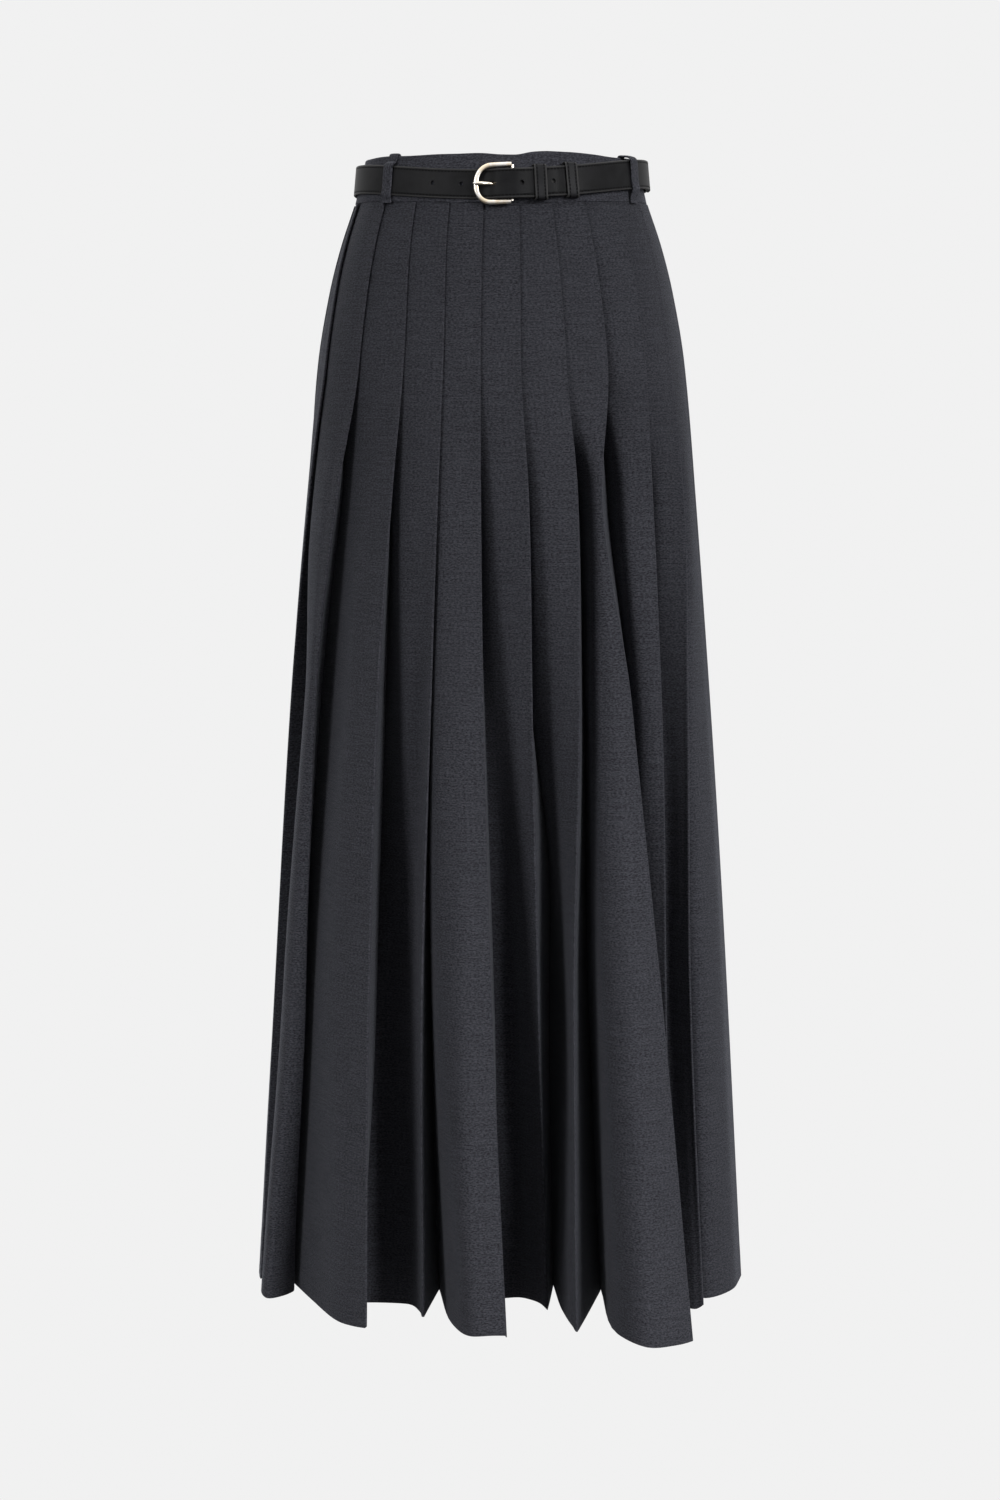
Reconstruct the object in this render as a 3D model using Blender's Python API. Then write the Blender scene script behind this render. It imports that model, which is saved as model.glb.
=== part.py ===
"""Pleated maxi skirt with its own belt: the solids, in metres, +Z up.

Front of the skirt faces -Y and the wearer's left is at +X.  The origin is the
centre of the waist opening, half way up the waistband at the centre front.
Sizes in the tables are millimetres and degrees; MM turns them into metres.
An angle round the waist is measured from the centre front towards +X.
"""
import math

import bmesh
import bpy
from mathutils import Vector

MM = 0.001

# ---------------------------------------------------------------- sizes (mm)
BAND_HALF = 20.0        # the waistband runs this far above and below z = 0
BAND_WALL = 2.4
FRONT_DIP = 8.0         # the waist sits this much lower at the centre front
HEM_Z = -950.0
SEAM_GAP = 0.3          # between two pieces that are sewn together
CLOTH = 1.1             # wall of the skirt cloth
LAYER = 1.5             # spacing of the folded layers under the waistband
UNDERLAP = 0.70         # share of a pleat's pitch that lies folded underneath
GAPE = 0.6              # below 1, an open pleat grows deep before it grows wide

# outline of the outer creases: half width and half depth at each height
OUTLINE = (  # z, half_width, half_depth
    (20.0, 115.0, 89.0),
    (-20.0, 124.0, 92.5),
    (-55.0, 136.2, 102.0),
    (-90.0, 145.5, 109.0),
    (-150.0, 156.3, 118.0),
    (-260.0, 166.5, 127.0),
    (-570.0, 190.5, 146.0),
    (-950.0, 214.0, 165.0),
)

# rings of the skirt, as shares of its length
RINGS = (0.0, 0.022, 0.052, 0.092, 0.14, 0.19, 0.25, 0.32, 0.40, 0.48,
         0.57, 0.66, 0.75, 0.84, 0.92, 1.0)
STAGES = (0.0, 0.14, 0.258, 0.44, 0.71, 1.0)   # seam, hip, thigh, knee, shin, hem

# The folds that show in the photo, left to right: where each outer crease is
# at the five upper stages (degrees), the share of the length at which its
# pleat comes open, and the plan of the open fold at the hem (mm, d = towards
# the viewer): its shoulder, crown and crease, and the valley right of it.
SEEN = (
    # seam   hip   opens   shoulder     crown        crease       valley, at the hem
    (-75.5, -70.0, 0.14, (-214, -52), (-224, -34), (-214, -10), (-190, -6)),
    (-51.1, -48.8, 0.15, (-209, 26), (-203, 46), (-182, 28), (-188, 2)),
    (-34.7, -30.8, 0.21, (-163, 56), (-138, 106), (-113, 133), (-122, 62)),
    (-20.2, -17.7, 0.27, (-107, 56), (-79, 64), (-66, 109), (-54, 24)),
    (-6.9, -6.3, 0.255, (-45, 127), (-25, 161), (4, 156), (-3, 46)),
    (6.5, 5.7, 0.25, (14, 50), (28, 66), (39, 79), (46, 14)),
    (19.2, 19.6, 0.18, (52, 88), (57, 118), (63, 133), (87, 32)),
    (33.1, 33.7, 0.135, (97, 153), (120, 179), (158, 156), (104, 92)),
    (50.4, 49.3, 0.13, (122, 100), (136, 102), (143, 98), (136, 60)),
    (68.6, 64.9, 0.13, (150, 64), (165, 73), (173, 76), (166, 36)),
    (83.5, 83.0, 0.14, (178, 44), (202, 25), (213, -4), (192, -12)),
)
# Plan of the same folds between hip and hem: crease, the valley right of it
# and the left edge of the next panel.
PLANS = (
    # thigh: crease, valley, edge         knee: crease, valley, edge            shin: crease, valley, edge
    ((-163, 24), (-157, 12), (-160, 29), (-181, 5), (-164, -6), (-167, 42), (-198, -5), (-178, -8), (-187, 45)),
    ((-137, 71), (-134, 36), (-126, 60), (-157, 60), (-154, 24), (-142, 46), (-167, 62), (-172, 20), (-162, 48)),
    ((-90, 107), (-93, 76), (-84, 98), (-102, 115), (-97, 60), (-80, 98), (-110, 126), (-106, 66), (-93, 66)),
    ((-52, 121), (-65, 105), (-48, 119), (-58, 124), (-60, 96), (-54, 123), (-66, 121), (-60, 56), (-55, 126)),
    ((-17, 126), (-21, 103), (-12, 114), (-15, 136), (-14, 98), (-4, 106), (-8, 148), (-6, 72), (8, 72)),
    ((22, 126), (18, 106), (26, 114), (25, 126), (25, 92), (32, 101), (31, 110), (42, 24), (53, 72)),
    ((62, 118), (64, 76), (74, 102), (64, 126), (70, 58), (77, 108), (60, 132), (75, 32), (85, 132)),
    ((82, 110), (89, 58), (101, 85), (107, 115), (106, 74), (115, 92), (133, 135), (108, 84), (118, 84)),
    ((125, 84), (122, 52), (131, 57), (133, 91), (132, 52), (138, 54), (138, 99), (137, 58), (145, 57)),
    ((153, 50), (146, 42), (157, 34), (157, 64), (154, 50), (162, 46), (160, 79), (157, 56), (167, 58)),
)
SHARP_AT_HIP = {7: ((-1.5, 22.0), (3.0, 14.0))}   # valley and edge where this pleat bursts open
PLEATS = 24
HEM_FIRST, HEM_STEP = 89.5, 11.9    # outer creases on the hidden side at the hem
SIDE_CREASE = (85.0, 87.0, 89.0)    # the last seen crease at thigh, knee and shin
SIDE_SEAM_FOLDS = (10, 23)          # the seams lie inside these pleats
MM_PER_DEGREE = 3.3      # round the hem


def lerp(a, b, t):
    return a + (b - a) * t


def table(rows, key, col):
    """Straight-line reading of a table whose first column rises or falls."""
    rising = rows[-1][0] > rows[0][0]
    if (key <= rows[0][0]) if rising else (key >= rows[0][0]):
        return rows[0][col]
    for lo, hi in zip(rows, rows[1:]):
        if (lo[0] <= key <= hi[0]) if rising else (lo[0] >= key >= hi[0]):
            return lerp(lo[col], hi[col], (key - lo[0]) / (hi[0] - lo[0]))
    return rows[-1][col]


def curve(keys, values, at):
    """A smooth curve through a short table, with no overshoot."""
    n = len(keys)
    slopes = [(values[i + 1] - values[i]) / (keys[i + 1] - keys[i]) for i in range(n - 1)]
    bend = [slopes[0]] + [0.0 if a * b <= 0 else 2 * a * b / (a + b)
                          for a, b in zip(slopes, slopes[1:])] + [slopes[-1]]
    for i in range(n - 1):
        if at <= keys[i + 1] or i == n - 2:
            h = keys[i + 1] - keys[i]
            t = max(0.0, min(1.0, (at - keys[i]) / h))
            return ((2 * t ** 3 - 3 * t ** 2 + 1) * values[i] + (t ** 3 - 2 * t ** 2 + t) * h * bend[i]
                    + (3 * t ** 2 - 2 * t ** 3) * values[i + 1] + (t ** 3 - t ** 2) * h * bend[i + 1])


def smooth(t):
    t = max(0.0, min(1.0, t))
    return t * t * (3.0 - 2.0 * t)


def outline(z):
    """Half width and half depth of the outer creases at height z."""
    heights = [-row[0] for row in OUTLINE[1:]]
    return tuple(curve(heights, [row[col] for row in OUTLINE[1:]], -z) if z < -BAND_HALF
                 else table(OUTLINE, z, col) for col in (1, 2))


def side_share(phi):
    """0 at the centre front, 1 at the sides and all round the back."""
    return 1.0 if math.cos(math.radians(phi)) < 0 else math.sin(math.radians(phi)) ** 2


def waist_lift(phi):
    return FRONT_DIP * side_share(phi)


def on_plan(phi, inset, z):
    """World x, y of a place round the outline, inset towards the axis."""
    a, b = outline(z)
    r = math.radians(phi)
    return Vector(((a - inset) * math.sin(r), -(b - inset) * math.cos(r)))


def plan_angle(p, z):
    a, b = outline(z)
    return math.degrees(math.atan2(p.x / a, -p.y / b))


def to_ring(x, d, z):
    """The angle and inset of a plan point (d towards the viewer)."""
    a, b = outline(z)
    lo, hi = -120.0, min(a, b) - 1.0
    for _ in range(60):
        n = (lo + hi) / 2
        if (x / (a - n)) ** 2 + (d / (b - n)) ** 2 < 1.0:
            lo = n
        else:
            hi = n
    return math.degrees(math.atan2(x / (a - n), d / (b - n))), n


# ------------------------------------------------------------------- pleats
def opened(row, share):
    s = (share - row['opens']) / (1.0 - row['opens'])
    return max(0.0, s) ** 1.15


def way_along(start, point, end):
    """How far a mark lies on the way from one mark to another."""
    sizes = (MM_PER_DEGREE, 1.0)
    way = [(e - s) * size for s, e, size in zip(start, end, sizes)]
    step = [(p - s) * size for s, p, size in zip(start, point, sizes)]
    return sum(u * v for u, v in zip(step, way)) / sum(v * v for v in way)


def fold_rows():
    """One row per pleat: at each stage its crease, and the valley and the next
    panel's left edge, both counted from the crease."""
    rows = []
    for k, (seam, hip, opens, *plan) in enumerate(SEEN):
        hem = [to_ring(x, d, HEM_Z) for x, d in plan]
        row = dict(opens=opens, shoulder=hem[0], crown=hem[1], crease=hem[2], valley=hem[3])
        row['known'] = {stage: [to_ring(x, d, lerp(-BAND_HALF, HEM_Z, STAGES[stage]))
                                for x, d in PLANS[k][3 * stage - 6:3 * stage - 3]]
                        for stage in (2, 3, 4)} if k < len(PLANS) else {}
        middle = [row['known'][stage][0][0] for stage in (2, 3, 4)] if k < len(PLANS) else SIDE_CREASE
        row['stages'] = [seam, hip, *middle, hem[2][0]]
        rows.append(row)
    for k in range(len(SEEN), PLEATS):
        step = k - (len(SEEN) - 1)
        seam = SEEN[-1][0] + step * (360.0 - SEEN[-1][0] + SEEN[0][0]) / (PLEATS - len(SEEN) + 1)
        hem = HEM_FIRST + step * HEM_STEP + 1.6 * math.sin(2.1 * k)
        depth = 60.0 + 14.0 * math.sin(1.9 * k + 0.6)
        inset = 5.0 + 5.0 * math.sin(2.7 * k)
        turn = 1.5 + 3.5 * math.sin(1.3 * k)
        share = [0.0, 0.05, 0.32, 0.62, 0.86]
        rows.append(dict(stages=[lerp(seam, hem, s) for s in share] + [hem],
                         opens=0.16 + 0.06 * math.sin(2.4 * k), crease=(hem, inset),
                         valley=(hem + turn, inset + depth), shoulder=None, crown=None, known={}))
    for k, row in enumerate(rows):
        before = rows[k - 1]
        left = before['crease'][0] - (360.0 if k == 0 else 0.0)
        if row['shoulder'] is None:
            low = before['valley']
            row['shoulder'] = (lerp(max(low[0], left), row['crease'][0], 0.30), 0.36 * low[1])
            row['crown'] = (lerp(low[0], row['crease'][0], 0.74), row['crease'][1] - 3.0)
        marks = row['shoulder'], row['crown'], row['crease']
        row['reach'] = way_along(*marks)
        row['bulge'] = [c - lerp(s, r, row['reach']) for s, c, r in zip(*marks)]
    for k, row in enumerate(rows):
        before, after = rows[k - 1], rows[(k + 1) % PLEATS]
        turn = row['valley'][0] - row['crease'][0]
        edge = after['shoulder'][0] - row['crease'][0] + (360.0 if k == PLEATS - 1 else 0.0)
        marks = [[], [], [], [], []]
        for stage, share in enumerate(STAGES):
            here = row['stages'][stage]
            pitch = here - before['stages'][stage] + (360.0 if k == 0 else 0.0)
            ahead = after['stages'][stage] - here + (360.0 if k == PLEATS - 1 else 0.0)
            e = opened(row, share)
            if stage in row['known']:
                crease, valley, lip = row['known'][stage]
                values = crease[1], valley[0] - here, valley[1], lip[0] - here, lip[1]
            elif stage == 1 and k in SHARP_AT_HIP:
                valley, lip = SHARP_AT_HIP[k]
                values = 0.0, valley[0], valley[1], lip[0], lip[1]
            else:
                values = (row['crease'][1] * e, lerp(-UNDERLAP * pitch, turn, e),
                          lerp(3.3 * LAYER, row['valley'][1], e ** GAPE),
                          lerp(0.13 * ahead, edge, e), lerp(2.0 * LAYER, after['shoulder'][1], e ** GAPE))
            for column, value in zip(marks, values):
                column.append(value)
        row['crease_in'], row['turn'], row['deep'], row['edge'], row['edge_in'] = marks
    return rows


FOLDS = fold_rows()


def crease_angle(k, share):
    wrap = (k // PLEATS) * 360.0
    return wrap + curve(STAGES, FOLDS[k % PLEATS]['stages'], share)


def at_stage(row, column, share):
    return curve(STAGES, row[column], share)


def fold_marks(k, share):
    """Shoulder, crown, crease and valley of pleat k: (angle, inset) each."""
    row, before = FOLDS[k % PLEATS], FOLDS[(k - 1) % PLEATS]
    e = opened(row, share)
    left, here = crease_angle(k - 1, share), crease_angle(k, share)
    shoulder = (left + at_stage(before, 'edge', share), at_stage(before, 'edge_in', share))
    crease = (here, at_stage(row, 'crease_in', share))
    valley = (here + at_stage(row, 'turn', share), at_stage(row, 'deep', share))
    # the face stays outside its own return, and under the crease before it
    held = 1.0 - smooth(0.5 + at_stage(before, 'turn', share) / 3.0)
    over = at_stage(before, 'crease_in', share) + 2.0 * LAYER
    shoulder = (shoulder[0], lerp(shoulder[1], max(shoulder[1], over), held))
    reach = lerp(0.55, row['reach'], e)
    crown = tuple(lerp(s, r, reach) + e * more for s, r, more in zip(shoulder, crease, row['bulge']))
    kept = []
    for angle, inset in (crown, shoulder):
        if angle > valley[0]:
            way = (here - angle) / (here - valley[0])
            inset = min(inset, lerp(crease[1] + 0.8 * LAYER, valley[1] - LAYER / 2, way) - 1.25 * LAYER)
        elif kept and kept[0][0] > valley[0]:
            top, reach = kept[0][1], (kept[0][0] - angle) / (kept[0][0] - valley[0])
            inset = min(inset, top + (valley[1] - 2.0 * LAYER - top) * reach)
        kept.append((angle, inset))
    return kept[1], kept[0], crease, valley


def hairpin(before, tip, after, left_turn):
    """The two corner points of a fold, spaced so that the wall fits between."""
    u, v = (tip - before).normalized(), (after - tip).normalized()
    out = (u - v)
    out = out.normalized() if out.length > 1e-6 else u
    side = Vector((-out.y, out.x)) * (LAYER / 2.0) * (1.0 if left_turn else -1.0)
    return tip - side, tip + side


def section(share):
    """Mid-line of the cloth all round at one share of the length, 8 points a pleat.

    Each point is (x, y, angle).  A pleat's points run valley, shoulder, crown,
    before the crease, crease, crease turned under, half way back, valley.
    """
    z = lerp(-BAND_HALF, HEM_Z, share)
    marks = [fold_marks(k, share) for k in range(PLEATS)]

    def place(mark):
        return on_plan(mark[0], mark[1], z)

    points = []
    for k in range(PLEATS):
        s, c, r, v = marks[k]
        v_before = marks[k - 1][3]
        s_next = marks[(k + 1) % PLEATS][0]
        S, C, R, V = place(s), place(c), place(r), place(v)
        near = R.lerp(C, 0.42) + (C - S).normalized() * (R - C).length * 0.06
        mid = R.lerp(V, 0.5)
        nxt = place(s_next)
        VB = place(v_before)
        RB = place(marks[k - 1][2])
        vb = hairpin(RB.lerp(VB, 0.5), VB, S, False)[1]
        ra, rb = hairpin(near, R, mid, True)
        va = hairpin(mid, V, nxt, False)[0]
        for p, a in ((vb, v_before[0]), (S, s[0]), (C, c[0]), (near, r[0]),
                     (ra, r[0]), (rb, r[0]), (mid, r[0]), (va, v[0])):
            points.append((p.x, p.y, a))
    return points


def thicken(line, wall, closed=False):
    """Outer and inner points of a wall on a mid-line, mitred at the corners."""
    n = len(line)
    outer, inner = [], []
    for i in range(n):
        p = Vector(line[i][:2])
        before = Vector(line[(i - 1) % n][:2]) if closed or i else None
        after = Vector(line[(i + 1) % n][:2]) if closed or i < n - 1 else None
        d1 = (p - before).normalized() if before is not None else (after - p).normalized()
        d2 = (after - p).normalized() if after is not None else d1
        n1, n2 = Vector((d1.y, -d1.x)), Vector((d2.y, -d2.x))
        m = n1 + n2
        m = m.normalized() if m.length > 1e-6 else n1
        m *= min(1.6, 1.0 / max(0.2, m.dot(n1)))
        outer.append(p + m * wall / 2)
        inner.append(p - m * wall / 2)
    return outer, inner


def hem_drop(index):
    """Small unevenness of the hem."""
    return 2.5 * math.sin(0.9 * index)


def panel_line(share, first, last):
    """Mid-line from inside pleat `first` to inside pleat `last`, ends set back."""
    ring = section(share)
    start = first * 8 + 6
    count = (last - first) * 8
    line = [ring[(start + i) % len(ring)] for i in range(count + 1)]
    for end, nxt in ((0, 1), (-1, -2)):
        p, q = Vector(line[end][:2]), Vector(line[nxt][:2])
        moved = p + (q - p).normalized() * SEAM_GAP / 2
        line[end] = (moved.x, moved.y, line[end][2])
    return line


# ------------------------------------------------------------ mesh builders
MATERIALS = {  # colour, roughness, metallic
    'cloth': ((0.045, 0.046, 0.054), 0.92, 0.0),
    'leather': ((0.012, 0.012, 0.013), 0.38, 0.0),
    'metal': ((0.74, 0.68, 0.60), 0.18, 1.0),
}
MADE_OF = {'belt': 'leather', 'keeper': 'leather', 'buckle': 'metal'}


def material_for(name):
    kind = MADE_OF.get(name.split('_')[0], 'cloth')
    colour, rough, metal = MATERIALS[kind]
    mat = bpy.data.materials.new(name)
    mat.use_nodes = True
    shader = mat.node_tree.nodes['Principled BSDF']
    shader.inputs['Base Color'].default_value = (*colour, 1.0)
    shader.inputs['Roughness'].default_value = rough
    shader.inputs['Metallic'].default_value = metal
    mat.diffuse_color = (*colour, 1.0)
    return mat


def new_object(name, verts, faces, sharp=35.0):
    """A closed mesh with its origin in its middle, hung from the waist empty."""
    lo = Vector([min(v[i] for v in verts) for i in range(3)])
    hi = Vector([max(v[i] for v in verts) for i in range(3)])
    middle = (lo + hi) / 2
    mesh = bpy.data.meshes.new(name)
    mesh.from_pydata([(Vector(v) - middle) * MM for v in verts], [], faces)
    bm = bmesh.new()
    bm.from_mesh(mesh)
    bmesh.ops.recalc_face_normals(bm, faces=bm.faces)
    bmesh.ops.triangulate(bm, faces=bm.faces)
    bm.to_mesh(mesh)
    bm.free()
    obj = bpy.data.objects.new(name, mesh)
    bpy.context.collection.objects.link(obj)
    obj.location = middle * MM
    obj.parent = bpy.data.objects.get('waist')
    mesh.materials.append(material_for(name))
    mesh.shade_smooth()
    mesh.set_sharp_from_angle(angle=math.radians(sharp))
    return obj


def loft(name, rings, closed_ring, capped, sharp=35.0):
    """Solid from rings of equal length; each ring is a closed outline."""
    size = len(rings[0])
    verts = [v for ring in rings for v in ring]
    faces = []
    pairs = len(rings) if closed_ring else len(rings) - 1
    for i in range(pairs):
        a, b = i * size, ((i + 1) % len(rings)) * size
        for j in range(size):
            k = (j + 1) % size
            faces.append((a + j, a + k, b + k, b + j))
    if capped:
        faces.append(tuple(range(size)))
        faces.append(tuple((len(rings) - 1) * size + j for j in range(size)))
    return new_object(name, verts, faces, sharp)


def skirt_panel(name, first, last):
    """A pleated wall: every ring is the outer line and back along the inner."""
    layers = []
    for share in RINGS:
        z = lerp(-BAND_HALF - SEAM_GAP, HEM_Z, share)
        line = panel_line(share, first, last)
        outer, inner = thicken(line, CLOTH)
        drops = [hem_drop(i + first * 8) * share ** 8 for i in range(len(line))]
        layers.append([[(p.x, p.y, z + waist_lift(plan_angle(p, z)) * (1.0 - share) ** 3 + h)
                        for p, h in zip(side, drops)] for side in (outer, inner)])
    size = len(layers[0][0])
    verts, faces = [], []
    for outer, inner in layers:
        verts += outer + inner
    for i in range(len(layers) - 1):
        a, b = i * 2 * size, (i + 1) * 2 * size
        for j in range(size - 1):
            faces.append((a + j, b + j, b + j + 1, a + j + 1))
            faces.append((a + size + j, a + size + j + 1, b + size + j + 1, b + size + j))
        faces.append((a, a + size, b + size, b))
        faces.append((a + size - 1, b + size - 1, b + 2 * size - 1, a + 2 * size - 1))
    top, hem = 0, (len(layers) - 1) * 2 * size
    for j in range(size - 1):
        faces.append((top + j, top + j + 1, top + size + j + 1, top + size + j))
        faces.append((hem + j, hem + size + j, hem + size + j + 1, hem + j + 1))
    return new_object(name, verts, faces, 40.0)


# --------------------------------------------------------- waistband, loops
def band_point(phi, out, z):
    """A point `out` mm outside the waistband face, z above the belt line."""
    a, b = table(OUTLINE, z, 1), table(OUTLINE, z, 2)
    r = math.radians(phi)
    return ((a + out) * math.sin(r), -(b + out) * math.cos(r), z + waist_lift(phi))


def waistband():
    steps = 72
    edge = 0.7
    outline_nz = ((0.0, -BAND_HALF), (0.0, BAND_HALF - edge), (-edge, BAND_HALF),
                  (edge - BAND_WALL, BAND_HALF), (-BAND_WALL, BAND_HALF - edge),
                  (-BAND_WALL, -BAND_HALF))
    rings = [[band_point(360.0 * i / steps, n, z) for n, z in outline_nz] for i in range(steps)]
    return loft('waistband', rings, True, False)


LOOP_WIDE, LOOP_WALL = 9.5, 1.4
LOOPS = (  # name, angle, lean (mm at the foot), face of the belt under it
    ('loop_front_left', -49.8, 1.3, 2.2),
    ('loop_front_right', 62.0, 0.0, 4.3),
    ('loop_back_right', 141.0, 0.0, 2.2),
    ('loop_back_left', 219.0, 0.0, 2.2),
)


def belt_loop(name, phi, lean, belt_face):
    """A strip folded over the top edge, over the belt, down to the seam."""
    clear, half = 0.35, LOOP_WALL / 2
    lift = belt_z(phi) - waist_lift(phi)
    flat, proud = clear + half, belt_face + clear + half
    top, foot = (proud + belt_clear(phi, lift + h * BELT_HALF) for h in (1, -1))
    inside = -BAND_WALL - clear - half
    path = ((inside, 9.0), (inside, BAND_HALF + clear + half), (flat, BAND_HALF + clear + half),
            (flat, lift + BELT_HALF + 2.6), (top, lift + BELT_HALF + 0.9),
            (foot, lift - BELT_HALF - 0.4), (flat + 0.2, min(lift - BELT_HALF - 1.6, -BAND_HALF + 1.6)),
            (flat + 0.2, -BAND_HALF + 0.1))
    outer, inner = thicken([(n, z) for n, z in path], LOOP_WALL)
    half_angle = math.degrees(LOOP_WIDE / 2 / math.hypot(
        table(OUTLINE, 0, 1) * math.cos(math.radians(phi)), table(OUTLINE, 0, 2) * math.sin(math.radians(phi))))
    rings = []
    for pair in list(zip(outer, inner)):
        ring = []
        for side, p in ((-1, pair[0]), (1, pair[0]), (1, pair[1]), (-1, pair[1])):
            tilt = lean * (BAND_HALF - p.y) / (2 * BAND_HALF)
            shift = tilt / LOOP_WIDE * 2 * half_angle
            ring.append(band_point(phi + shift + side * half_angle, p.x, p.y))
        rings.append(ring)
    return loft(name, rings, False, True)


# --------------------------------------------------------------------- belt
BELT_HALF, STRAP = 12.0, 1.8
BAR_X, BAR_OUT, BAR_R = 9.0, 3.7, 1.2
HOLES = (-55.0, -32.0, 16.0, 40.5)   # x of the free holes along the front
HOLE_R = 1.9
PRONG_HOLE_X = -8.6
TIP_ANGLE = 101.0


def belt_z(phi):
    return -5.0 + 15.0 * side_share(phi) + 2.3 * math.sin(math.radians(phi))


def flare(phi, z):
    """How far the waistband's slope moves a point at height z, in plan."""
    level = (z - waist_lift(phi)) * lean(phi)
    r = math.radians(phi)
    return -SLOPE_A * level * math.sin(r), SLOPE_B * level * math.cos(r)


SLOPE_A = (OUTLINE[1][1] - OUTLINE[0][1]) / (2 * BAND_HALF)
SLOPE_B = (OUTLINE[1][2] - OUTLINE[0][2]) / (2 * BAND_HALF)
SIDE_STAND_OFF = 2.4     # the belt stands off the waistband at the sides


def lean(phi):
    """The belt leans with the waistband at the front and hardly at the sides."""
    return lerp(1.0, 0.4, side_share(phi))


def belt_clear(phi, level):
    """Distance from the waistband's face to the belt's reference, at a height."""
    r = math.radians(phi)
    slope = SLOPE_A * math.sin(r) ** 2 + SLOPE_B * math.cos(r) ** 2
    return SIDE_STAND_OFF * side_share(phi) ** 2 + (1.0 - lean(phi)) * slope * level


def front_angle(x):
    return math.degrees(math.asin(x / table(OUTLINE, 0, 1)))


# how far the strap's mid-line stands off the waistband, by x along the front
UNDER_END = ((40.0, 2.5), (20.0, 2.5), (13.0, 1.4), (BAR_X, BAR_OUT - 2.4))
MAIN_END = ((BAR_X, BAR_OUT + 2.4), (22.0, 4.6), (42.0, 4.6), (50.0, 2.5), (64.0, 2.5), (80.0, 1.3))
TAIL = ((-22.0, 1.3), (-14.5, 1.4), (-9.0, 3.2), (-3.0, 6.6), (3.0, 8.1), (12.0, 8.2), (22.0, 6.75), (42.0, 6.75),
        (50.0, 4.65), (64.0, 4.65), (80.0, 3.4))


def strap_path():
    """(angle, stand-off, half width) along the strap, buckle end to tip."""
    path = [(front_angle(x), table(UNDER_END, x, 1), BELT_HALF) for x in (40, 34, 27, 20, 16, 13, 10.5)]
    radius = 2.4
    for i in range(7):
        turn = math.radians(-90 - 180 * i / 6)
        path.append((front_angle(BAR_X + radius * math.cos(turn)), BAR_OUT + radius * math.sin(turn), BELT_HALF))
    path += [(front_angle(x), table(MAIN_END, x, 1), BELT_HALF)
             for x in (11.5, 15, 18.5, 22, 28, 35, 42, 46, 50, 57, 64, 72, 80, 90, 100)]
    start, end = front_angle(108.0), 360.0 + front_angle(-30.0)
    steps = 52
    path += [(lerp(start, end, i / steps), 1.3, BELT_HALF) for i in range(steps + 1)]
    path += [(360.0 + front_angle(x), table(TAIL, x, 1), BELT_HALF)
             for x in (-22, -18, -14.5, -11.5, -9, -6, -3, 0, 3, 7.5, 12, 15, 18.5, 22, 28, 35, 42, 46, 50,
                       57, 64, 72, 80, 90, 100)]
    start, steps = front_angle(108.0), 12
    path += [(360.0 + lerp(start, TIP_ANGLE - 6.0, i / steps), 3.4, BELT_HALF) for i in range(steps + 1)]
    for i in range(1, 5):
        t = i / 4.4
        path.append((360.0 + TIP_ANGLE - 6.0 + 6.0 * t, 3.4, BELT_HALF * math.sqrt(1 - t * t * 0.93)))
    return path


def belt_strap():
    plan, halves, angles = [], [], []
    for phi, out, half in strap_path():
        r = math.radians(phi)
        out += SIDE_STAND_OFF * side_share(phi) ** 2
        plan.append(((table(OUTLINE, 0, 1) + out) * math.sin(r), -(table(OUTLINE, 0, 2) + out) * math.cos(r)))
        halves.append(half)
        angles.append(phi)
    outer, inner = thicken(plan, STRAP)
    rings = []
    for o, i, half, phi in zip(outer, inner, halves, angles):
        c = belt_z(phi)
        ring = []
        for q, z in ((o, c + half), (o, c - half), (i, c - half), (i, c + half)):
            dx, dy = flare(phi, z)
            ring.append((q.x + dx, q.y + dy, z))
        rings.append(ring)
    strap = loft('belt_strap', rings, False, True)
    for x in HOLES:
        punch(strap, x, HOLE_R, HOLE_R, table(TAIL, max(-22.0, x), 1), 1.25)
    punch(strap, PRONG_HOLE_X, 5.0, 2.1, 4.2, 3.2)
    # slot in the fold round the bar, where the prong sits
    slot = box_at('cut', BAR_X - 0.5, 2.9, 6.6, 2.0, 4.1)
    cut(strap, slot)
    return strap


def front_frame(x):
    """Origin, along, up and outward directions on the belt's front at x."""
    phi = front_angle(x)
    r = math.radians(phi)
    dx, dy = flare(phi, belt_z(phi))
    p = Vector((x + dx, -table(OUTLINE, 0, 2) * math.cos(r) + dy, belt_z(phi)))
    along = Vector((table(OUTLINE, 0, 1) * math.cos(r), table(OUTLINE, 0, 2) * math.sin(r), 0)).normalized()
    ux, uy = flare(phi, waist_lift(phi) + 1.0)
    return p, along, Vector((ux, uy, 1)), Vector((along.y, -along.x, 0))


def box_at(name, x, out, half_long, half_high, half_deep):
    p, along, up, outward = front_frame(x)
    c = p + outward * out
    verts = [c + along * half_long * i + up * half_high * j + outward * half_deep * k
             for k in (-1, 1) for i, j in ((-1, -1), (1, -1), (1, 1), (-1, 1))]
    faces = ((0, 3, 2, 1), (4, 5, 6, 7), (0, 1, 5, 4), (1, 2, 6, 5), (2, 3, 7, 6), (3, 0, 4, 7))
    return new_object(name, verts, faces)


def punch(strap, x, r_long, r_high, out, half_deep):
    p, along, up, outward = front_frame(x)
    sides = 10
    verts = []
    for k in (-1, 1):
        for i in range(sides):
            t = 2 * math.pi * i / sides
            verts.append(p + outward * (out + half_deep * k) + along * r_long * math.cos(t) + up * r_high * math.sin(t))
    faces = [(i, (i + 1) % sides, sides + (i + 1) % sides, sides + i) for i in range(sides)]
    faces += [tuple(range(sides)), tuple(range(sides, 2 * sides))]
    cut(strap, new_object('cut', verts, faces))


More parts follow.
